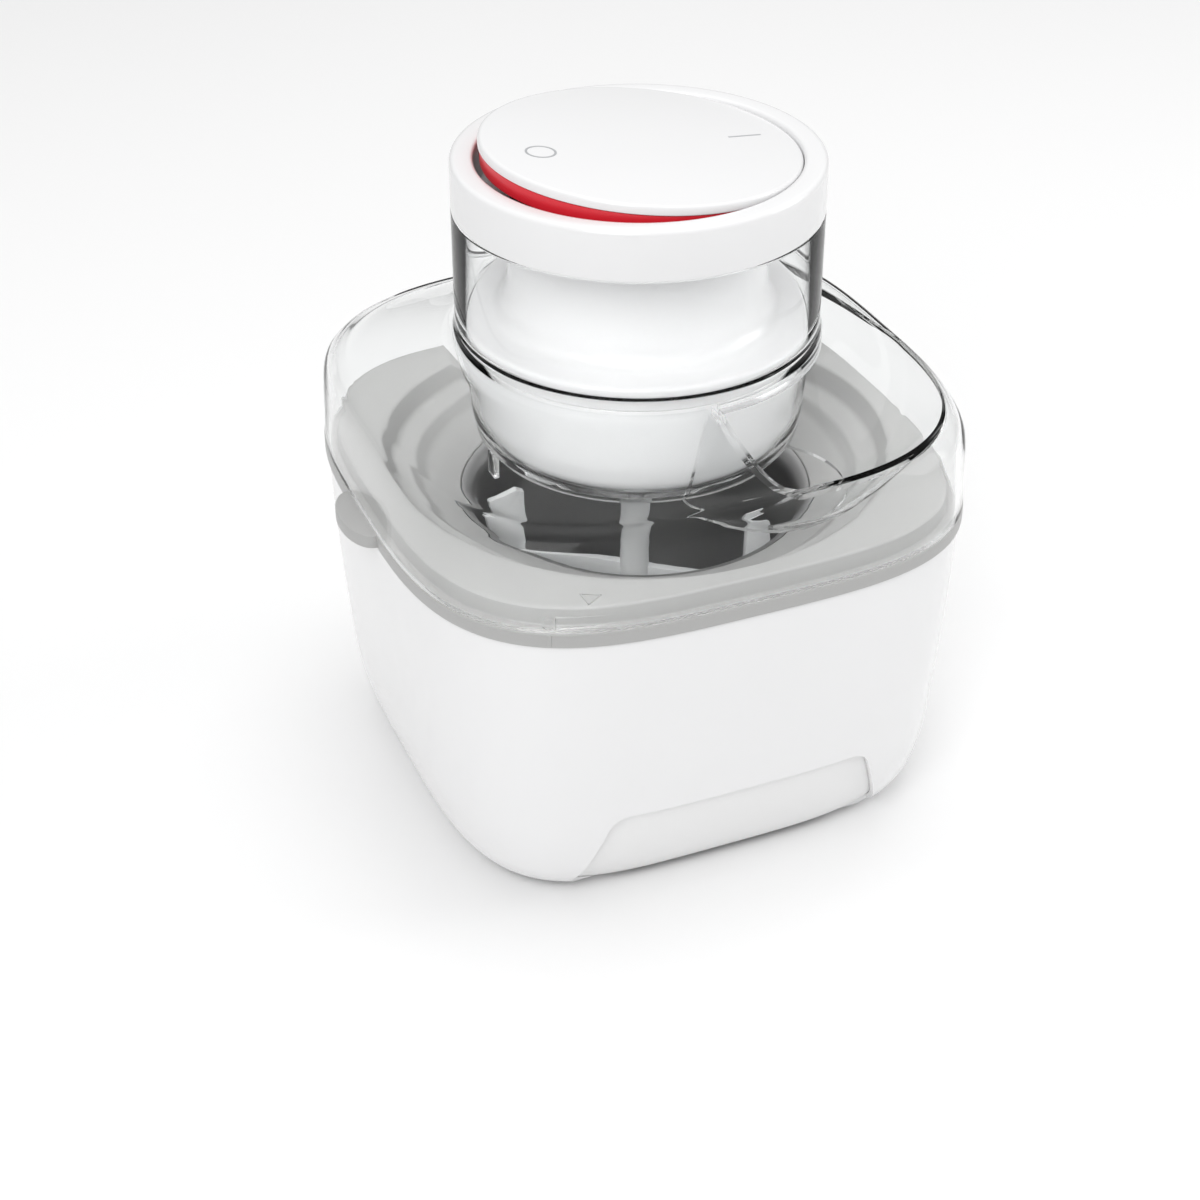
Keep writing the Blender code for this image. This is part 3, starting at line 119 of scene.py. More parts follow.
def softened(corners, steps=4, closed=True):
    """A path whose corners are rounded. The last number of each corner is its radius."""
    path = []
    count = len(corners)
    for index, corner in enumerate(corners):
        *here, radius = corner
        if radius == 0 or (not closed and index in (0, count - 1)):
            path.append(tuple(here))
            continue
        before = corners[index - 1][:-1]
        after = corners[(index + 1) % count][:-1]
        length_in = math.hypot(here[0] - before[0], here[-1] - before[-1])
        length_out = math.hypot(after[0] - here[0], after[-1] - here[-1])
        back = min(radius / length_in, 0.48)
        on = min(radius / length_out, 0.48)
        start = [p + (q - p) * back for p, q in zip(here, before)]
        end = [p + (q - p) * on for p, q in zip(here, after)]
        for step in range(steps + 1):
            t = step / steps
            path.append(
                tuple((1 - t) ** 2 * a + 2 * t * (1 - t) * b + t**2 * c for a, b, c in zip(start, here, end))
            )
    return path


# ---------------------------------------------------------------- shape makers


def finished(name, shape, smooth_angle=32):
    """Turns a bmesh into an object at the origin, with clean outward faces."""
    mesh = bpy.data.meshes.new(name)
    shape.to_mesh(mesh)
    shape.free()
    mesh.shade_smooth()
    mesh.set_sharp_from_angle(angle=math.radians(smooth_angle))
    made = bpy.data.objects.new(name, mesh)
    bpy.context.scene.collection.objects.link(made)
    return made


def clean(shape):
    bmesh.ops.remove_doubles(shape, verts=shape.verts, dist=1e-7)
    bmesh.ops.dissolve_degenerate(shape, dist=1e-8, edges=shape.edges)
    bmesh.ops.recalc_face_normals(shape, faces=shape.faces)


def skin(name, stations, columns=COLUMNS, capped=False):
    """A shell grown edge by edge through (half, power, height) outlines."""
    shape = bmesh.new()
    bmesh.ops.create_circle(shape, segments=columns, radius=1)
    edges = shape.edges[:]
    start_edges = edges
    place_ring(shape.verts, *stations[0])
    rest = list(stations[1:]) + ([] if capped else [stations[0]])
    for station in rest:
        grown = bmesh.ops.extrude_edge_only(shape, edges=edges)["geom"]
        edges = [item for item in grown if isinstance(item, bmesh.types.BMEdge)]
        place_ring([item for item in grown if isinstance(item, bmesh.types.BMVert)], *station)
    if capped:
        bmesh.ops.contextual_create(shape, geom=start_edges)
        bmesh.ops.contextual_create(shape, geom=edges)
    clean(shape)
    return finished(name, shape)


def place_ring(verts, half, power, height):
    for vert in verts:
        angle = math.atan2(vert.co.y, vert.co.x)
        vert.co = around(squarish_reach(half, power, angle), angle, height)


def spun(name, profile, steps=TURN_STEPS, closed=True, centre=(0, 0), smooth_angle=32):
    """A profile of (radius, height) turned about an upright axis."""
    shape = bmesh.new()
    verts = [shape.verts.new((radius, 0, height)) for radius, height in profile]
    pairs = list(zip(verts, verts[1:])) + ([(verts[-1], verts[0])] if closed else [])
    edges = [shape.edges.new(pair) for pair in pairs]
    bmesh.ops.spin(
        shape,
        geom=verts + edges,
        cent=(0, 0, 0),
        axis=(0, 0, 1),
        angle=2 * math.pi,
        steps=steps,
        use_merge=True,
    )
    clean(shape)
    bmesh.ops.translate(shape, verts=shape.verts, vec=(*centre, 0))
    return finished(name, shape, smooth_angle)


def slab(name, outline, low, high, edge=0.0):
    """A flat outline given a thickness, with its edges softened."""
    shape = bmesh.new()
    face = shape.faces.new([shape.verts.new((x, y, low)) for x, y in outline])
    grown = bmesh.ops.extrude_face_region(shape, geom=[face])["geom"]
    verts = [item for item in grown if isinstance(item, bmesh.types.BMVert)]
    bmesh.ops.translate(shape, verts=verts, vec=(0, 0, high - low))
    bmesh.ops.recalc_face_normals(shape, faces=shape.faces)
    if edge:
        soften(shape, edge)
    return finished(name, shape)


def soften(shape, width, segments=2, least=math.radians(30)):
    sharp = [e for e in shape.edges if len(e.link_faces) == 2 and e.calc_face_angle(0) > least]
    bmesh.ops.bevel(
        shape, geom=sharp, offset=width, segments=segments, profile=0.5, affect="EDGES", material=-1
    )


def bar(name, low, high, edge=0.0, turn=0.0):
    """A box between two corners, turned about the upright axis."""
    shape = bmesh.new()
    bmesh.ops.create_cube(shape, size=1)
    bmesh.ops.scale(shape, verts=shape.verts, vec=[b - a for a, b in zip(low, high)])
    bmesh.ops.translate(shape, verts=shape.verts, vec=[(a + b) / 2 for a, b in zip(low, high)])
    if edge:
        soften(shape, edge)
    bmesh.ops.rotate(shape, verts=shape.verts, cent=(0, 0, 0), matrix=Matrix.Rotation(turn, 3, "Z"))
    return finished(name, shape)


def moved(piece, matrix):
    piece.data.transform(matrix)
    return piece


def merged(name, *pieces):
    """Several closed shapes as one piece, laid into each other."""
    shape = bmesh.new()
    for piece in pieces:
        shape.from_mesh(piece.data)
        bpy.data.objects.remove(piece, do_unlink=True)
    return finished(name, shape)


def carved(target, other, operation="DIFFERENCE"):
    """Applies a Boolean and removes the other shape."""
    boolean = target.modifiers.new("carve", "BOOLEAN")
    boolean.operation = operation
    boolean.object = other
    boolean.solver = "EXACT"
    settled(target)
    bpy.data.objects.remove(other, do_unlink=True)
    return target


def settled(piece):
    """Applies a piece's modifiers."""
    graph = bpy.context.evaluated_depsgraph_get()
    graph.update()
    mesh = bpy.data.meshes.new_from_object(piece.evaluated_get(graph))
    piece.modifiers.clear()
    piece.data = mesh
    mesh.shade_smooth()
    mesh.set_sharp_from_angle(angle=math.radians(32))


def eased_edges(piece, width, segments=2, least=40):
    """A live bevel on the sharp edges, with even shading over the flats."""
    bevel = piece.modifiers.new("edges", "BEVEL")
    bevel.width = width
    bevel.segments = segments
    bevel.limit_method = "ANGLE"
    bevel.angle_limit = math.radians(least)
    even = piece.modifiers.new("shading", "WEIGHTED_NORMAL")
    even.keep_sharp = True


def put(piece, body, slot, finish, *nodes):
    piece.data.transform(Matrix.Translation((AXIS_X, 0, 0)))
    piece.data.materials.clear()
    piece.data.materials.append(finish)
    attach(piece, body)
    if nodes:
        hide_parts(*nodes)
    return piece


# ---------------------------------------------------------------- finishes


class Wire:
    """A value inside a material. Arithmetic on it adds Math nodes."""

    def __init__(self, finish, socket):
        self.finish = finish
        self.socket = socket

    def math(self, operation, first, second):
        return self.finish.add("ShaderNodeMath", {"operation": operation}, {0: first, 1: second})

    def __add__(self, other):
        return self.math("ADD", self, other)

    def __sub__(self, other):
        return self.math("SUBTRACT", self, other)

    def __rsub__(self, other):
        return self.math("SUBTRACT", other, self)

    def __mul__(self, other):
        return self.math("MULTIPLY", self, other)

    __radd__ = __add__
    __rmul__ = __mul__


class Finish:
    """A surface finish built on one Principled shader."""

    def __init__(self, name, colour, roughness, **fixed):
        self.material = bpy.data.materials.new(name)
        self.material.use_nodes = True
        self.tree = self.material.node_tree
        self.shader = self.tree.nodes["Principled BSDF"]
        self.shader.inputs["Base Color"].default_value = (*colour, 1)
        self.shader.inputs["Roughness"].default_value = roughness
        for label, value in fixed.items():
            self.shader.inputs[label.replace("_", " ").title().replace("Ior", "IOR")].default_value = value
        self.colour = colour
        self.roughness = roughness
        self.place = self.add("ShaderNodeTexCoord", out="Object")

    def add(self, kind, settings=None, inputs=None, out=0):
        node = self.tree.nodes.new(kind)
        for label, value in (settings or {}).items():
            setattr(node, label, value)
        for label, value in (inputs or {}).items():
            if isinstance(value, Wire):
                self.tree.links.new(value.socket, node.inputs[label])
            else:
                node.inputs[label].default_value = value
        return Wire(self, node.outputs[out])

    def feed(self, label, wire):
        self.tree.links.new(wire.socket, self.shader.inputs[label])

    def noise(self, scale, detail=3.0, stretch=None):
        place = self.place
        if stretch:
            place = self.add("ShaderNodeMapping", inputs={"Vector": place, "Scale": stretch})
        return self.add("ShaderNodeTexNoise", inputs={"Vector": place, "Scale": scale, "Detail": detail})

    def tint(self, mask, other):
        """Base colour drifting between the finish's own and another."""
        settings = {"data_type": "RGBA"}
        inputs = {0: mask, 6: (*self.colour, 1), 7: (*other, 1)}
        self.feed("Base Color", self.add("ShaderNodeMix", settings, inputs, out=2))

    def grain(self, height, depth):
        inputs = {"Height": height, "Distance": depth, "Strength": 1.0}
        self.feed("Normal", self.add("ShaderNodeBump", inputs=inputs))


def plastic(name, colour, roughness, texture=900.0, depth=0.00001, drift=0.03, **fixed):
    """Moulded plastic: a slow drift of tone and gloss, and a fine skin texture."""
    made = Finish(name, colour, roughness, **fixed)
    slow = made.noise(14.0)
    fine = made.noise(texture, 2.0)
    made.tint(slow, [value * (1 - drift) for value in colour])
    made.feed("Roughness", slow * (0.3 * roughness) + 0.85 * roughness)
    made.grain(fine, depth)
    return made.material


def metal(name, colour, roughness, stretch, texture=160.0, depth=0.00002):
    """Metal with fine lines along one direction."""
    made = Finish(name, colour, roughness, metallic=1.0)
    lines = made.noise(texture, 4.0, stretch)
    slow = made.noise(22.0)
    made.tint(slow, [value * 0.88 for value in colour])
    made.feed("Roughness", lines * (0.35 * roughness) + 0.82 * roughness)
    made.grain(lines, depth)
    return made.material


def clear(name, colour, smudge):
    """Clear plastic: it bends light, with the faintest smudges on its skin."""
    made = Finish(name, colour, 0.0, transmission_weight=1.0, ior=1.18)
    slow = made.noise(30.0)
    made.feed("Roughness", slow * smudge)
    return made.material


WHITE_GLOSS = plastic("glossy_white_moulding", (0.86, 0.86, 0.865), 0.22, coat_weight=0.25)
WHITE_SATIN = plastic("satin_white_moulding", (0.85, 0.85, 0.85), 0.36)
WHITE_MATTE = plastic("matte_white_paddle", (0.80, 0.81, 0.81), 0.5, 500.0, 0.00003, 0.06)
GREY_SATIN = plastic("satin_grey_moulding", (0.43, 0.43, 0.425), 0.42, 700.0, 0.00002)
RED_GLOSS = plastic("glossy_red_moulding", (0.80, 0.022, 0.040), 0.3)
BLACK_RUBBER = plastic("black_rubber", (0.03, 0.03, 0.032), 0.7, 400.0, 0.00005, 0.2)
BLACK_MOULDING = plastic("black_moulding", (0.04, 0.04, 0.045), 0.45, 500.0, 0.00003, 0.1)
GEAR_WHITE = plastic("natural_gear_plastic", (0.78, 0.75, 0.66), 0.45, 300.0, 0.00003, 0.08)
MARK_GREY = plastic("pale_grey_mark", (0.42, 0.43, 0.44), 0.5)
GEL_BLUE = plastic("frozen_blue_gel", (0.35, 0.55, 0.80), 0.55, 60.0, 0.0004, 0.2)
DARK_LINER = metal("dark_anodised_liner", (0.45, 0.45, 0.45), 0.42, (1, 1, 14), 90.0)
STEEL = metal("plain_steel", (0.60, 0.60, 0.62), 0.3, (1, 1, 8))
BRASS = metal("turned_brass", (0.72, 0.53, 0.24), 0.3, (1, 1, 20))
CLEAR_LID = clear("clear_lid_plastic", (0.975, 0.98, 0.98), 0.006)

# ---------------------------------------------------------------- base

HOUSING_WALL = 2.6 * MM
# Height share, inset and added squareness of the housing's side, from top to bottom
SIDE = (
    (1.00, 0.0000, 0.00),
    (0.80, 0.0006, 0.00),
    (0.60, 0.0022, 0.05),
    (0.40, 0.0046, 0.15),
    (0.25, 0.0070, 0.30),
    (0.12, 0.0115, 0.50),
    (0.045, 0.0172, 0.60),
    (0.00, 0.0228, 0.60),
)


def side_stations(inward, per_span=5):
    height = BASE_TOP - BASE_BOTTOM
    rows = [
        (HOUSING_HALF - inset - inward, SQUARENESS + squarer, BASE_BOTTOM + share * height)
        for share, inset, squarer in SIDE
    ]
    return eased(rows, per_span)


def rounded_top(half, wall, edge=0.7 * MM):
    """The housing's upper edge, from its inside to its outside."""
    corners = [
        (half - wall, SQUARENESS, BASE_TOP - 3 * edge, 0),
        (half - wall, SQUARENESS, BASE_TOP, edge * 0.5),
        (half, SQUARENESS, BASE_TOP, edge),
        (half, SQUARENESS, BASE_TOP - 3 * edge, 0),
    ]
    return softened(corners, closed=False)


def window_outline(grow, low=-10 * MM):
    """The cut-out in the housing's front: a low trapezoid with round upper corners."""
    top, top_half, bottom_half, corner = 48 * MM, 56 * MM, 72.5 * MM, 10 * MM
    slope = (bottom_half - top_half) / top
    lean = math.atan(slope)
    radius = corner + grow
    reach = radius * math.tan((math.pi / 2 - lean) / 2)
    centre = (top_half + grow - reach, top + grow - radius)
    right = [(top_half + grow + slope * (top + grow - low), low)]
    for step in range(13):
        angle = lean + (math.pi / 2 - lean) * step / 12
        right.append((centre[0] + radius * math.cos(angle), centre[1] + radius * math.sin(angle)))
    return right + [(-x, z) for x, z in reversed(right)]


def window_prism(grow):
    prism = slab("window", window_outline(grow), -30 * MM, 30 * MM)
    return moved(prism, Matrix.Translation((0, -RIM_HALF, 0)) @ Matrix.Rotation(math.pi / 2, 4, "X"))


def make_base():
    outside = side_stations(0)[2:]
    inside = side_stations(HOUSING_WALL)[2:]
    top = rounded_top(HOUSING_HALF, HOUSING_WALL)
    housing = skin("housing_shell", top + outside + inside[::-1])
    carved(housing, window_prism(0))
    eased_edges(housing, 0.6 * MM)
    put(housing, "base", "white_gloss", WHITE_GLOSS, "base_housing")

    inward = HOUSING_WALL + 0.3 * MM
    apron_wall = 2.4 * MM
    apron = skin("apron", side_stations(inward) + side_stations(inward + apron_wall)[::-1])
    carved(apron, window_prism(5 * MM), "INTERSECT")
    half = HOUSING_HALF - SIDE[-1][1] - inward
    power = SQUARENESS + SIDE[-1][2]
    floor_rows = [(half, power, BASE_BOTTOM), (half, power, BASE_BOTTOM + 3 * MM)]
    tray = merged("bottom_tray", apron, skin("tray_floor", floor_rows, capped=True))
    put(tray, "base", "white_gloss", WHITE_SATIN, "base_tray")


# ---------------------------------------------------------------- bowl

RECESS_RADIUS = 105.2 * MM
GROOVE_RADIUS = 92.5 * MM
MOUTH_RADIUS = 73.3 * MM
FLANGE_HALF = RIM_HALF - 6.2 * MM
RECESS = FLANGE_TOP - 9.8 * MM
GROOVE = RECESS - 4.8 * MM
MOUTH = GROOVE - 6.0 * MM
LINER_RADIUS = 67.5 * MM
TAB_HALF = 19 * MM
TAB_REACH = 9.5 * MM


def pointer_mark():
    """A raised triangle outline on the flange that points at the latch."""
    middle = Vector((-63.4 * MM, -102.6 * MM))
    aim = math.radians(-118)
    line = 0.45 * MM
    aims = (aim, aim + 2.1, aim - 2.1)
    corners = [middle + Vector((math.cos(a), math.sin(a))) * 4.4 * MM for a in aims]
    bars = []
    for start, end in zip(corners, corners[1:] + corners[:1]):
        along = end - start
        turn = math.atan2(along.y, along.x)
        low = (-line / 2, -line / 2, FLANGE_TOP - 0.4 * MM)
        stroke = bar("stroke", low, (along.length + line / 2, line / 2, FLANGE_TOP - 0.01 * MM), 0, turn)
        bars.append(moved(stroke, Matrix.Translation((start.x, start.y, 0.35 * MM))))
    return merged("pointer", *bars)


def make_rim():
    power = SQUARENESS
    locating = HOUSING_HALF - HOUSING_WALL - 0.5 * MM
    wall = 2.8 * MM
    corners = [
        (RIM_HALF, power, TRIM_TOP, 0.8 * MM),
        (RIM_HALF, power, TRIM_BOTTOM, 0.8 * MM),
        (locating, power, TRIM_BOTTOM, 0),
        (locating, power, TRIM_BOTTOM - 5 * MM, 0.5 * MM),
        (locating - wall, power, TRIM_BOTTOM - 5 * MM, 0.5 * MM),
        (FLANGE_HALF - wall, power, FLANGE_TOP - wall, 0),
        (RECESS_RADIUS + wall, 2, FLANGE_TOP - wall, 0),
        (RECESS_RADIUS - 0.5 * MM, 2, RECESS - wall, 0),
        (GROOVE_RADIUS + 1 * MM, 2, RECESS - wall, 0),
        (GROOVE_RADIUS - 3 * MM, 2, GROOVE - wall, 0),
        (MOUTH_RADIUS, 2, MOUTH - wall, 0),
        (MOUTH_RADIUS, 2, MOUTH, 0.8 * MM),
        (GROOVE_RADIUS - 4.4 * MM, 2, GROOVE, 2 * MM),
        (GROOVE_RADIUS, 2, RECESS, 1.6 * MM),
        (RECESS_RADIUS - 3.6 * MM, 2, RECESS, 2.4 * MM),
        (RECESS_RADIUS, 2, FLANGE_TOP, 1.2 * MM),
        (FLANGE_HALF, power, FLANGE_TOP, 1.2 * MM),
        (FLANGE_HALF + 0.3 * MM, power, TRIM_TOP, 0.8 * MM),
    ]
    rim = skin("rim_shell", softened(corners, 4))
    outline = [(-RIM_HALF + 3 * MM, -TAB_HALF)]
    for step in range(33):
        angle = -math.pi / 2 + math.pi * step / 32
        outline.append((-RIM_HALF - TAB_REACH * math.cos(angle), TAB_HALF * math.sin(angle)))
    outline.append((-RIM_HALF + 3 * MM, TAB_HALF))
    tab = slab("tab", outline, TRIM_BOTTOM + 0.4 * MM, TRIM_TOP - 0.1 * MM, 0.8 * MM)
    corner_angle = math.atan2(-106, -80)
    reach = squarish_reach(RIM_HALF, power, corner_angle)
    low = (reach - 1.5 * MM, -0.9 * MM, TRIM_BOTTOM + 1 * MM)
    high = (reach + 0.25 * MM, 0.9 * MM, TRIM_TOP - 0.4 * MM)
    rib = bar("rib", low, high, 0.3 * MM, corner_angle)
    mark = pointer_mark()
    put(merged("bowl_rim_shell", rim, tab, rib, mark), "bowl", "grey_plastic", GREY_SATIN, "bowl_rim")


def make_liner():
    flare_top = MOUTH - 0.3 * MM
    flare = MOUTH_RADIUS - 0.3 * MM - LINER_RADIUS
    corner = 12 * MM
    inner = []
    for step in range(11):
        angle = math.pi / 2 * step / 10
        drop = 1.4 * flare * (1 - math.cos(angle))
        inner.append((LINER_RADIUS + flare * (1 - math.sin(angle)), flare_top - drop))
    for step in range(11):
        angle = math.pi / 2 * step / 10
        rise = corner * (1 - math.sin(angle))
        inner.append((LINER_RADIUS - corner * (1 - math.cos(angle)), LINER_FLOOR + rise))
    nub = softened(
        [(6 * MM, LINER_FLOOR, 1 * MM), (5 * MM, LINER_FLOOR + 6 * MM, 1 * MM), (0, LINER_FLOOR + 6 * MM, 0)],
        closed=False,
    )
    wall = 1.5 * MM
    outer = [
        (0, LINER_FLOOR - wall),
        (LINER_RADIUS + wall - corner, LINER_FLOOR - wall),
        (LINER_RADIUS + wall, LINER_FLOOR + corner),
        (LINER_RADIUS + wall, flare_top - 1.4 * flare - 2 * MM),
        (MOUTH_RADIUS - 0.3 * MM, flare_top - 1.8 * MM),
    ]
    liner = spun("bowl_cup", outer + inner + nub, closed=False, steps=TURN_STEPS)
    put(liner, "bowl", "liner_metal", DARK_LINER, "bowl_liner")


def make_jacket():
    """The outer wall of the double-walled bowl, open at the top."""
    low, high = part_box("bowl_jacket")
    radius = high.y
    wall = 2.2 * MM
    profile = softened(
        [
            (0, low.z, 0),
            (radius - 14 * MM, low.z, 3 * MM),
            (radius - 6 * MM, low.z + 4 * MM, 3 * MM),
            (radius - 2 * MM, low.z + 14 * MM, 5 * MM),
            (radius, high.z, 0.4 * MM),
            (radius - wall, high.z, 0.4 * MM),
            (radius - 2 * MM - wall, low.z + 15 * MM, 5 * MM),
            (radius - 8 * MM, low.z + 5.5 * MM, 3 * MM),
            (radius - 15 * MM, low.z + wall, 3 * MM),
            (0, low.z + wall, 0),
        ],
        5,
        False,
    )
    jacket = spun("jacket_shell", profile, closed=False)
    put(jacket, "bowl", "grey_plastic", GREY_SATIN, "bowl_jacket")


# ---------------------------------------------------------------- paddle


def upright_panel(name, outline, thickness, edge=0.5 * MM):
    """A flat panel standing on edge: its outline is given across and up."""
    panel = slab(name, outline, -thickness / 2, thickness / 2, edge)
    return moved(panel, Matrix.Rotation(math.pi / 2, 4, "X"))


def make_paddle():
    turn = math.radians(146)
    slant = math.radians(28)
    foot = PADDLE_FOOT
    top = 120 * MM
    reach = 65.5 * MM
    arm_top = 88.5 * MM
    post = spun(
        "post",
        softened(
            [
                (0, NECK_BOTTOM + 1.5 * MM, 0),
                (6.2 * MM, NECK_BOTTOM + 1.5 * MM, 0.6 * MM),
                (6.2 * MM, foot + 14 * MM, 2 * MM),
                (8.4 * MM, foot + 10 * MM, 2 * MM),
                (8.4 * MM, foot, 0.4 * MM),
                (5.5 * MM, foot, 0),
                (5.5 * MM, LINER_FLOOR + 6.5 * MM, 0),
                (0, LINER_FLOOR + 6.5 * MM, 0),
            ],
            closed=False,
        ),
        48,
        closed=False,
    )
    square = bar("square", (-4 * MM, -4 * MM, NECK_BOTTOM), (4 * MM, 4 * MM, PADDLE_TOP), 0.5 * MM)
    pieces = [post, square]
    middle = Vector((reach - 10 * MM, 0, 0))
    lean = Matrix.Translation(middle) @ Matrix.Rotation(slant, 4, "Z") @ Matrix.Translation(-middle)
    left = [
        (reach - 17 * MM, foot),
        (reach - 6 * MM, foot),
        (reach - 1 * MM, foot + 8 * MM),
        (reach - 1 * MM, top - 5 * MM),
        (reach - 13.5 * MM, top),
        (reach - 17 * MM, top - 1.5 * MM),
    ]
    right = [
        (reach - 20 * MM, foot),
        (reach - 6 * MM, foot),
        (reach - 1 * MM, foot + 8 * MM),
        (reach - 1 * MM, top - 26 * MM),
        (reach - 7 * MM, top - 20 * MM),
        (reach - 9 * MM, top),
        (reach - 18 * MM, top),
        (reach - 19 * MM, top - 20 * MM),
    ]
    for side, outline in ((turn, left), (turn + math.pi, right)):
        panel = upright_panel("panel", outline, 3.6 * MM)
        pieces.append(moved(panel, Matrix.Rotation(side, 4, "Z") @ lean))
        arm_low = arm_top - 7.5 * MM
        arm = [(5.5 * MM, arm_low), (54 * MM, arm_low), (54 * MM, arm_top), (5.5 * MM, arm_top)]
        pieces.append(moved(upright_panel("arm", arm, 3.6 * MM), Matrix.Rotation(side, 4, "Z")))
        sole = [(5.5 * MM, foot), (52 * MM, foot), (52 * MM, foot + 7.5 * MM), (5.5 * MM, foot + 7.5 * MM)]
        pieces.append(moved(upright_panel("sole", sole, 3.6 * MM), Matrix.Rotation(side, 4, "Z")))
    put(merged("paddle_frame", *pieces), "paddle", "white_matte", WHITE_MATTE, "mixing_paddle")


# ---------------------------------------------------------------- lid

CREST = LID_FOOT + 41.2 * MM
SHOULDER = LID_FOOT + 28.5 * MM
CREST_HALF = RIM_HALF - 13 * MM
RIM = RIM_HALF - 0.3 * MM
SEAT_TOP = 209.0 * MM
CHUTE_START = math.radians(-90.0)
CHUTE_END = math.radians(22.0)
CHUTE_EDGE_INSET = 7.0 * MM
CHUTE_LEFT_TURN = math.radians(9)
CHUTE_RIGHT_TURN = math.radians(32)
HOLE_CENTRE = Vector((26 * MM, -66 * MM, 0))
HOLE_RADIUS = 33 * MM
HOLE_HEIGHT = 158 * MM
CHUTE_STEPS = 96
CHUTE_ROWS = 16
CHUTE_WALL = 2.2 * MM
NECK_TOP = TOWER_FOOT - 3 * MM
NECK_LOW = 162 * MM
NECK_MIDDLE = 172 * MM
NECK_HIGH = 190 * MM


def dome(share):
    return CREST + share * (TOWER_FOOT - 3.5 * MM - CREST)


def lid_outside():
    tower = TOWER_RADIUS
    lower = [
        (RIM, SQUARENESS, LID_FOOT),
        (RIM - 0.5 * MM, SQUARENESS, LID_FOOT + 12 * MM),
        (RIM - 1.2 * MM, SQUARENESS, SHOULDER),
        (RIM - 3.0 * MM, 3.25, SHOULDER + 6.8 * MM),
        (RIM - 7.0 * MM, 3.1, CREST - 1.8 * MM),
        (CREST_HALF, 3.0, CREST),
        (0.5 * (CREST_HALF + tower) + 2 * MM, 2.4, dome(0.52)),
        (tower + 4 * MM, 2, dome(1.0)),
    ]
    return eased(lower, 6)


def lid_beneath():
    tower = TOWER_RADIUS
    wall = LID_WALL
    rows = [
        (RIM - wall, SQUARENESS, LID_FOOT),
        (RIM - 0.5 * MM - wall, SQUARENESS, LID_FOOT + 12 * MM),
        (RIM - 1.2 * MM - wall, SQUARENESS, SHOULDER),
        (RIM - 5.3 * MM, 3.25, SHOULDER + 5.8 * MM),
        (RIM - 8.2 * MM, 3.1, CREST - 4.0 * MM),
        (CREST_HALF - 0.6 * MM, 3.0, CREST - wall),
        (0.5 * (CREST_HALF + tower) + 1 * MM, 2.4, dome(0.52) - 1.15 * wall),
        (tower + 4 * MM, 2, dome(1.0) - 1.15 * wall),
    ]
    return eased(rows, 6)


def neck_outside():
    neck = NECK_RADIUS
    rows = [
        (neck - 3.4 * MM, 2, NECK_LOW),
        (neck - 1.6 * MM, 2, NECK_MIDDLE),
        (neck - 0.4 * MM, 2, NECK_HIGH),
        (neck, 2, TOWER_FOOT - 5.8 * MM),
    ]
    foot = [(neck - 14 * MM, 2, NECK_BOTTOM, 0), (neck - 8 * MM, 2, NECK_BOTTOM, 3 * MM)]
    low = softened([*foot, (*rows[0], 0)], 5, False)
    return low[:-1] + eased(rows, 4)


def neck_middle(height):
    rows = [(radius, level) for radius, _, level in neck_outside()[1:]]
    for (low_radius, low), (high_radius, high) in zip(rows, rows[1:]):
        if height <= high:
            return low_radius + (high_radius - low_radius) * (height - low) / (high - low) - LID_WALL / 2
    return rows[-1][0] - LID_WALL / 2


def rounded_rise(share, power=1.6):
    share = min(1.0, max(0.0, share))
    return (1 - (1 - share) ** power) ** (1 / power)


def chute_angles():
    shares = [(1 - math.cos(math.pi * step / CHUTE_STEPS)) / 2 for step in range(CHUTE_STEPS + 1)]
    return [CHUTE_START + (CHUTE_END - CHUTE_START) * share for share in shares]


def chute_reach(angle):
    near = neck_middle(NECK_TOP)
    full = squarish_reach(RIM_HALF - CHUTE_EDGE_INSET, 3.1, angle)
    opening = rounded_rise((angle - CHUTE_START) / CHUTE_LEFT_TURN)
    closing = rounded_rise((CHUTE_END - angle) / CHUTE_RIGHT_TURN)
    return near + (full - near) * min(opening, closing)


def chute_opening():
    beyond = TOWER_RADIUS + 1.2 * MM
    outer = [around(chute_reach(a), a) for a in chute_angles() if chute_reach(a) > beyond + 1 * MM]
    first = math.atan2(outer[0].y, outer[0].x)
    last = math.atan2(outer[-1].y, outer[-1].x)
    back = [around(beyond, last + (first - last) * step / 40) for step in range(41)]
    return [tuple(point.xy) for point in outer + back]


def chute_foot():
    near = neck_middle(HOLE_HEIGHT)
    distance = HOLE_CENTRE.length
    half_angle = math.acos((distance**2 + near**2 - HOLE_RADIUS**2) / (2 * distance * near))
    middle = math.atan2(HOLE_CENTRE.y, HOLE_CENTRE.x)
    meets = [around(near, middle - half_angle), around(near, middle + half_angle)]
    first, last = [math.atan2(m.y - HOLE_CENTRE.y, m.x - HOLE_CENTRE.x) for m in meets]
    first -= 2 * math.pi * (first > 0)
    last += 2 * math.pi * (last < first)
    found = []
    for step in range(CHUTE_STEPS + 1):
        point = HOLE_CENTRE + around(HOLE_RADIUS, first + (last - first) * step / CHUTE_STEPS)
        found.append((math.atan2(point.y, point.x), math.hypot(point.x, point.y)))
    return found


def lid_top_height(point, outside):
    """Height of the lid's outside above a point in plan."""
    angle = math.atan2(point.y, point.x)
    reach = math.hypot(point.x, point.y)
    path = [(squarish_reach(half, power, angle), height) for half, power, height in outside]
    for (far, low), (near, high) in zip(path, path[1:]):
        if near <= reach <= far:
            return low + (high - low) * (far - reach) / (far - near)
    return path[-1][1] + 3 * MM if reach < path[-1][0] else path[0][1]


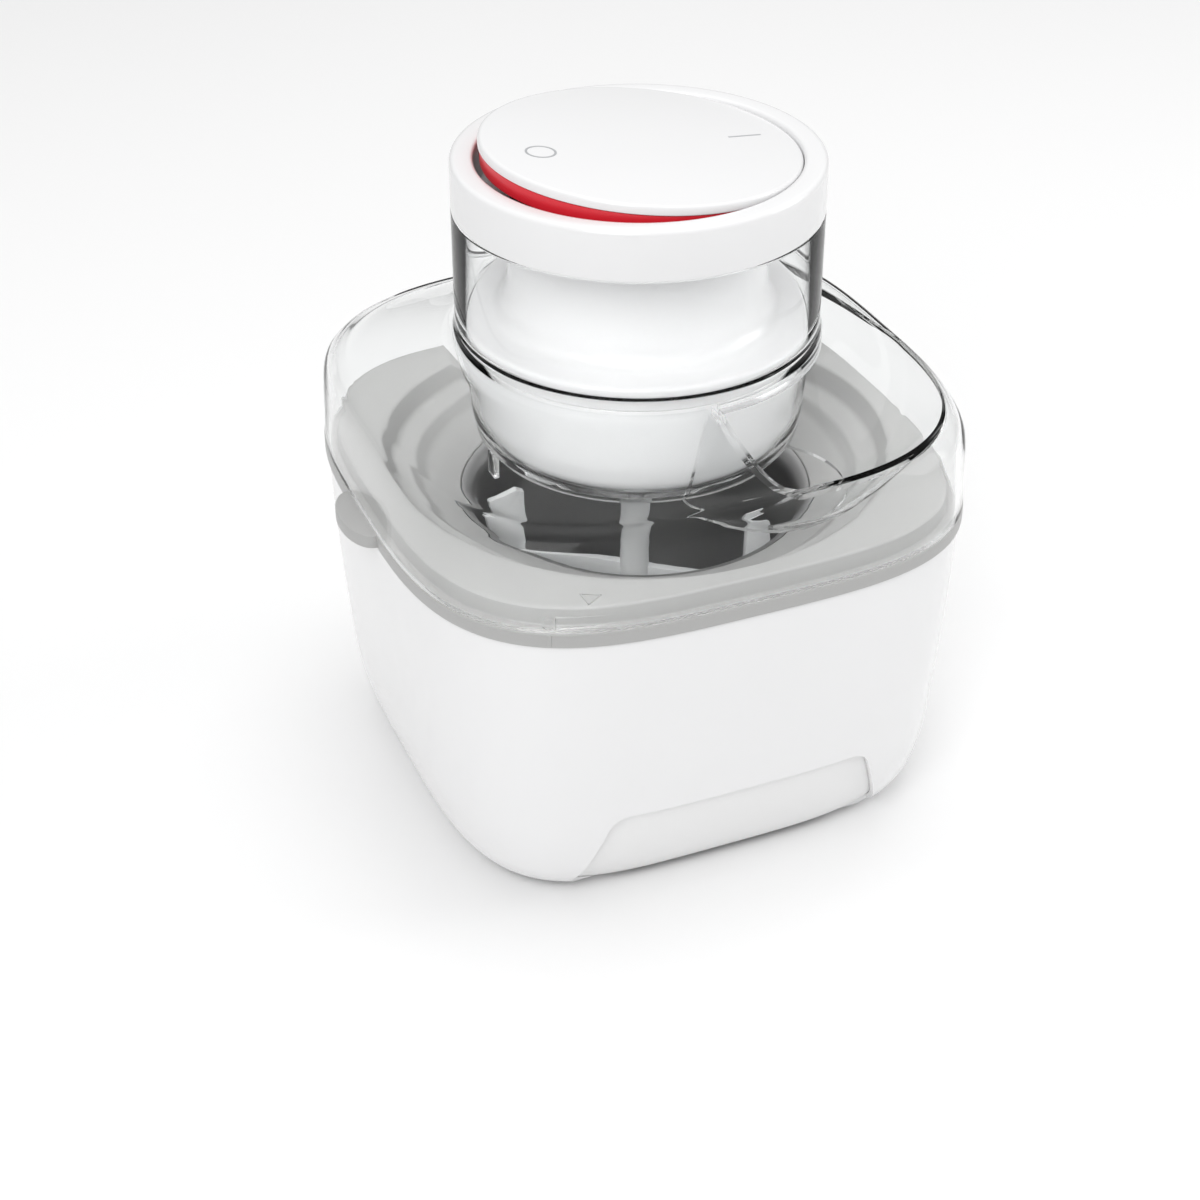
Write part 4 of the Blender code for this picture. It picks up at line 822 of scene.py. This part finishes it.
def chute_wall(outside):
    sheet = bmesh.new()
    columns = []
    for top_angle, (foot_angle, foot_reach) in zip(chute_angles(), chute_foot()):
        top_reach = chute_reach(top_angle)
        high = min(lid_top_height(around(top_reach, top_angle), outside) + 0.2 * MM, NECK_TOP)
        beyond_top = top_reach - neck_middle(NECK_TOP)
        beyond_foot = foot_reach - neck_middle(HOLE_HEIGHT)
        column = []
        for row in range(CHUTE_ROWS + 1):
            share = row / CHUTE_ROWS
            height = high + (HOLE_HEIGHT - high) * share
            reach = neck_middle(min(height, NECK_TOP)) + beyond_top + (beyond_foot - beyond_top) * share
            angle = top_angle + (foot_angle - top_angle) * share
            column.append(sheet.verts.new(around(reach, angle, height)))
        columns.append(column)
    for left, right in zip(columns, columns[1:]):
        for row in range(CHUTE_ROWS):
            sheet.faces.new((left[row], right[row], right[row + 1], left[row + 1]))
    bmesh.ops.recalc_face_normals(sheet, faces=sheet.faces)
    wall = finished("chute_wall", sheet)
    thicken = wall.modifiers.new("thicken", "SOLIDIFY")
    thicken.thickness = CHUTE_WALL
    thicken.offset = 0
    thicken.use_even_offset = True
    settled(wall)
    return wall


LATCH_TURN = math.radians(-127.2)
RAMP_TURN = math.radians(12.5)


def latch_ramp():
    """A ramp on the outside of the lid's wall that fades out beside the latch lug."""
    ramp = bmesh.new()
    rings = []
    steps = 24
    for step in range(steps + 1):
        share = step / steps
        angle = LATCH_TURN + math.radians(1.2) + RAMP_TURN * share
        reach = squarish_reach(RIM - 0.2 * MM, SQUARENESS, angle)
        proud = reach + 1.5 * MM * (1 - share) ** 1.3 - 0.1 * MM
        low = LID_FOOT + (2.4 + 0.9 * share) * MM
        high = LID_FOOT + (7.4 - 0.6 * share) * MM
        buried = reach - 1.2 * MM
        ring = [(buried, low), (proud, low), (proud, high - 0.5 * MM), (proud - 0.3 * MM, high), (buried, high)]
        rings.append([ramp.verts.new(around(radius, angle, height)) for radius, height in ring])
    sides = len(rings[0])
    for here, after in zip(rings, rings[1:]):
        for side in range(sides):
            beside = (side + 1) % sides
            ramp.faces.new((here[side], after[side], after[beside], here[beside]))
    ramp.faces.new(rings[0])
    ramp.faces.new(rings[-1][::-1])
    bmesh.ops.recalc_face_normals(ramp, faces=ramp.faces)
    return finished("latch_ramp", ramp)


def latch_lug():
    """A round lug that stands out of the lid's wall at the front left corner."""
    proud = 1.9 * MM
    corners = [(0, proud, 0), (2.5 * MM, proud, 0.8 * MM), (2.5 * MM, -1.2 * MM, 0), (0, -1.2 * MM, 0)]
    lug = spun("latch_lug", softened(corners, 4, False), 40, closed=False)
    place = around(squarish_reach(RIM - 0.2 * MM, SQUARENESS, LATCH_TURN), LATCH_TURN, LID_FOOT + 4.6 * MM)
    across = abs(place.x) ** (SQUARENESS - 1)
    along = abs(place.y) ** (SQUARENESS - 1)
    outward = Vector((-across, -along, 0)).normalized()
    return moved(lug, Matrix.Translation(place) @ outward.to_track_quat("Z", "Y").to_matrix().to_4x4())


def make_lid():
    tower = TOWER_RADIUS
    neck = NECK_RADIUS
    wall = LID_WALL
    lip = 54 * MM
    outside = lid_outside()
    tower_rows = softened(
        [
            (*outside[-1], 0),
            (tower, 2, TOWER_FOOT, 4.5 * MM),
            (tower, 2, TOWER_TOP, 0.6 * MM),
            (tower - wall, 2, TOWER_TOP, 0.6 * MM),
            (tower - wall, 2, SEAT_TOP, 2 * MM),
            (neck - wall + 0.1 * MM, 2, SEAT_TOP - (tower - neck), 2 * MM),
            (neck - wall - 0.5 * MM, 2, NECK_HIGH, 4 * MM),
            (neck - wall - 1.8 * MM, 2, NECK_MIDDLE, 3 * MM),
            (neck - wall - 4.0 * MM, 2, 163.5 * MM, 3 * MM),
            (lip + 4 * MM, 2, NECK_BOTTOM + 2.2 * MM, 1.5 * MM),
            (lip, 2, NECK_BOTTOM + 1.8 * MM, 0.5 * MM),
            (lip, 2, NECK_BOTTOM, 0.5 * MM),
            (*neck_outside()[0], 0),
        ],
        4,
        False,
    )
    stations = outside[:-1] + tower_rows[:-1] + neck_outside() + lid_beneath()[::-1]
    lid = skin("lid_shell", stations)
    carved(lid, slab("opening", chute_opening(), HOLE_HEIGHT + 8 * MM, TOWER_FOOT + 10 * MM))
    carved(lid, chute_wall(outside), "UNION")
    lug = bar(
        "lug",
        (-neck + 4.8 * MM, -3.5 * MM, NECK_BOTTOM - 7 * MM),
        (-neck + 7.2 * MM, 3.5 * MM, NECK_BOTTOM + 3 * MM),
        0.5 * MM,
        math.radians(2),
    )
    carved(lid, lug, "UNION")
    carved(lid, latch_ramp(), "UNION")
    carved(lid, latch_lug(), "UNION")
    lid.visible_shadow = False
    put(lid, "lid_body", "clear_plastic", CLEAR_LID, "lid")


# ---------------------------------------------------------------- motor head

WELL_RADIUS = 64 * MM
SLEEVE = 53 * MM


def make_head():
    top = COLLAR_TOP
    floor = COLLAR_BOTTOM + 2.8 * MM
    collar = spun(
        "collar_ring",
        softened(
            [
                (SLEEVE + 3 * MM, COLLAR_BOTTOM, 0),
                (TOWER_RADIUS, COLLAR_BOTTOM, 0.5 * MM),
                (TOWER_RADIUS, top, 2.6 * MM),
                (WELL_RADIUS, top, 1.8 * MM),
                (WELL_RADIUS, floor, 0.5 * MM),
                (SLEEVE + 3 * MM, floor, 0),
            ],
            6,
        ),
        COLUMNS,
    )
    put(collar, "head", "white_gloss", WHITE_GLOSS, "head_collar")

    seat_inside = NECK_RADIUS - LID_WALL - 0.5 * MM
    wide = TOWER_RADIUS - LID_WALL - 0.5 * MM
    wall = 2.4 * MM
    flange_low = floor + 0.3 * MM
    flange_high = flange_low + 2.3 * MM
    sleeve_path = softened(
        [
            (62 * MM, flange_high, 0.4 * MM),
            (62 * MM, flange_low, 0.4 * MM),
            (SLEEVE, flange_low, 0),
            (SLEEVE, 212.4 * MM, 16 * MM),
            (wide, 212.2 * MM, 2.2 * MM),
            (wide, 208.6 * MM, 0.5 * MM),
            (seat_inside, 205.4 * MM, 0.8 * MM),
            (seat_inside, PARTING + 0.3 * MM, 0.5 * MM),
            (seat_inside - wall, PARTING + 0.3 * MM, 0.4 * MM),
            (seat_inside - wall, 208.8 * MM, 3 * MM),
            (SLEEVE - wall, 209.8 * MM, 15 * MM),
            (SLEEVE - wall, flange_high, 0),
        ],
        10,
    )
    housing = spun("motor_sleeve", sleeve_path, COLUMNS)
    posts = []
    post_y = 56.5 * MM
    for sign in (-1, 1):
        low, high = sorted((sign * (post_y - 2 * MM), sign * (post_y + 2 * MM)))
        posts.append(bar("post", (-4 * MM, low, flange_high - 1 * MM), (4 * MM, high, 273.5 * MM), 0.5 * MM))
    put(merged("motor_shell", housing, *posts), "head", "white_gloss", WHITE_GLOSS, "motor_housing")

    top_r = seat_inside
    socket = 10.5 * MM
    cap = spun(
        "gear_cap",
        softened(
            [
                (top_r, PARTING, 0.5 * MM),
                (top_r - 0.5 * MM, NECK_HIGH, 3 * MM),
                (top_r - 1.8 * MM, 173 * MM, 3 * MM),
                (top_r - 4.0 * MM, 165.2 * MM, 2.5 * MM),
                (top_r - 7.4 * MM, 161.0 * MM, 2.5 * MM),
                (top_r - 12 * MM, CAP_BOTTOM, 2 * MM),
                (socket, CAP_BOTTOM, 0.5 * MM),
                (socket, CAP_BOTTOM + wall, 0.3 * MM),
                (top_r - 13 * MM, CAP_BOTTOM + wall, 2 * MM),
                (top_r - 8.5 * MM, 163.6 * MM, 2 * MM),
                (top_r - 4.2 * MM, 173.8 * MM, 2 * MM),
                (top_r - wall - 0.5 * MM, NECK_HIGH, 2 * MM),
                (top_r - wall, PARTING, 0.3 * MM),
            ],
            5,
        ),
        COLUMNS,
    )
    put(cap, "head", "white_gloss", WHITE_GLOSS, "motor_cap")

    level = COLLAR_BOTTOM + 9 * MM
    gland = spun(
        "lead_sleeve",
        softened(
            [
                (3.4 * MM, 64.6 * MM, 0.2 * MM),
                (4.8 * MM, 64.6 * MM, 0.2 * MM),
                (4.8 * MM, 73.8 * MM, 0),
                (6.4 * MM, 73.8 * MM, 0.4 * MM),
                (6.0 * MM, 76.4 * MM, 0.8 * MM),
                (4.8 * MM, 79.6 * MM, 0.6 * MM),
                (3.4 * MM, 79.6 * MM, 0.4 * MM),
            ]
        ),
        48,
    )
    moved(gland, Matrix.Translation((0, 0, level)) @ Matrix.Rotation(-math.pi / 2, 4, "X"))
    put(gland, "head", "rubber_dark", BLACK_RUBBER, "cord_gland")


# ---------------------------------------------------------------- switch disc

PIVOT = 269.5 * MM
DISC_RADIUS = 63.2 * MM
CROWN = 11.7 * MM
UNDER = 7.9 * MM
TILT = Matrix.Translation((0, 0, PIVOT)) @ Matrix.Rotation(math.radians(4.8), 4, "Y")


def make_disc():
    disc = spun(
        "disc",
        softened(
            [
                (0, CROWN, 0),
                (DISC_RADIUS, CROWN, 1.8 * MM),
                (DISC_RADIUS - 0.2 * MM, UNDER, 0.5 * MM),
                (0, UNDER, 0),
            ],
            6,
            False,
        ),
        COLUMNS,
        closed=False,
    )
    lugs = []
    for sign in (-1, 1):
        low, high = sorted((sign * 47 * MM, sign * 50 * MM))
        lugs.append(bar("lug", (-5 * MM, low, -4.2 * MM), (5 * MM, high, UNDER + 1 * MM), 0.4 * MM))
    finger = bar("finger", (18 * MM, -2 * MM, -2 * MM), (22 * MM, 2 * MM, UNDER + 1 * MM), 0.3 * MM)
    whole = moved(merged("switch_disc", disc, *lugs, finger), TILT)
    put(whole, "rocker", "white_gloss", WHITE_GLOSS, "rocker_disc")

    skirt = spun(
        "disc_skirt",
        softened(
            [
                (DISC_RADIUS - 3 * MM, UNDER - 0.3 * MM, 0),
                (DISC_RADIUS - 0.8 * MM, UNDER - 0.3 * MM, 0.3 * MM),
                (DISC_RADIUS - 1.4 * MM, UNDER - 6.6 * MM, 0.3 * MM),
                (DISC_RADIUS - 3.4 * MM, UNDER - 6.6 * MM, 0.3 * MM),
            ]
        ),
        COLUMNS,
    )
    put(moved(skirt, TILT), "rocker", "red_plastic", RED_GLOSS, "rocker_skirt")

    proud = 0.08 * MM
    low, high = CROWN - 0.5 * MM, CROWN + proud
    near, far = 5.2 * MM, 6.1 * MM
    off_mark = spun(
        "off_mark",
        [(near, low), (far, low), (far, high), (near, high)],
        64,
        centre=(-42 * MM, -1 * MM),
    )
    put(moved(off_mark, TILT), "rocker", "grey_plastic", MARK_GREY)
    on_mark = bar("on_mark", (37 * MM, -1.45 * MM, CROWN - 0.5 * MM), (51 * MM, -0.55 * MM, CROWN + proud))
    put(moved(on_mark, TILT), "rocker", "grey_plastic", MARK_GREY)


# ---------------------------------------------------------------- inner pieces

INNER_FINISHES = {
    "coolant_fill": GEL_BLUE,
    "gear_plate": STEEL,
    "output_bush": BRASS,
    "motor_pinion": BRASS,
    "motor_can": STEEL,
    "motor_shaft": STEEL,
    "output_shaft": STEEL,
    "idler_axle": STEEL,
    "rocker_axle": STEEL,
    "idler_gear": GEAR_WHITE,
    "output_gear": GEAR_WHITE,
    "drive_socket": GEAR_WHITE,
    "switch_body": BLACK_MOULDING,
    "switch_plunger": WHITE_SATIN,
}


def finish_inner_pieces():
    for name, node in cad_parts.items():
        finish = INNER_FINISHES.get(name)
        if "screw" in name:
            finish = STEEL
        if name.startswith("foot_"):
            finish = BLACK_RUBBER
        if finish:
            node.data.materials.clear()
            node.data.materials.append(finish)


# ---------------------------------------------------------------- stage


def make_stage():
    shape = bmesh.new()
    bmesh.ops.create_grid(shape, x_segments=1, y_segments=1, size=6.0)
    floor = finished("floor", shape)
    paper = Finish("pale_paper", (0.93, 0.93, 0.93), 0.7)
    slow = paper.noise(1.5)
    paper.tint(slow, (0.92, 0.92, 0.92))
    floor.data.materials.append(paper.material)

    world = bpy.data.worlds.new("studio")
    world.use_nodes = True
    nodes, links = world.node_tree.nodes, world.node_tree.links
    direction = nodes.new("ShaderNodeTexCoord")
    parts = nodes.new("ShaderNodeSeparateXYZ")
    sky = nodes.new("ShaderNodeValToRGB")
    sky.color_ramp.elements[0].position = 0.0
    sky.color_ramp.elements[0].color = (0.34, 0.34, 0.34, 1)
    sky.color_ramp.elements[1].position = 0.55
    sky.color_ramp.elements[1].color = (1, 1, 1, 1)
    links.new(direction.outputs["Generated"], parts.inputs[0])
    links.new(parts.outputs["Z"], sky.inputs["Fac"])
    links.new(sky.outputs["Color"], nodes["Background"].inputs["Color"])
    nodes["Background"].inputs["Strength"].default_value = 0.72
    bpy.context.scene.world = world
    bpy.context.scene.view_settings.view_transform = "Standard"

    for name, place, aim, size, power in (
        ("key", (-1.1, -1.3, 1.7), (0, 0, 0.12), 1.1, 18),
        ("top", (0.2, 0.3, 1.9), (0, 0, 0.1), 1.3, 9),
        ("side", (1.6, -0.4, 0.8), (0, 0, 0.15), 0.8, 5.5),
    ):
        lamp = bpy.data.lights.new(name, "AREA")
        lamp.shape = "SQUARE"
        lamp.size = size
        lamp.energy = power
        made = bpy.data.objects.new(name, lamp)
        made.location = place
        made.rotation_euler = (Vector(aim) - Vector(place)).to_track_quat("-Z", "Y").to_euler()
        bpy.context.scene.collection.objects.link(made)


def make_camera():
    data = bpy.data.cameras.new("camera")
    data.lens = 68.42
    data.sensor_width = 36.0
    camera = bpy.data.objects.new("camera", data)
    right = Vector((0.92205, -0.38707, 0)).normalized()
    ahead = Vector((0.3216, 0.7661, -0.5565)).normalized()
    up = right.cross(ahead)
    turn = Matrix((right, up, -ahead)).transposed().to_4x4()
    camera.matrix_world = Matrix.Translation((AXIS_X - 0.3339, -0.7569, 0.6236)) @ turn
    bpy.context.scene.collection.objects.link(camera)
    bpy.context.scene.camera = camera


make_base()
make_rim()
make_liner()
make_jacket()
make_paddle()
make_lid()
make_head()
make_disc()
finish_inner_pieces()
make_stage()
make_camera()

bpy.context.view_layer.update()
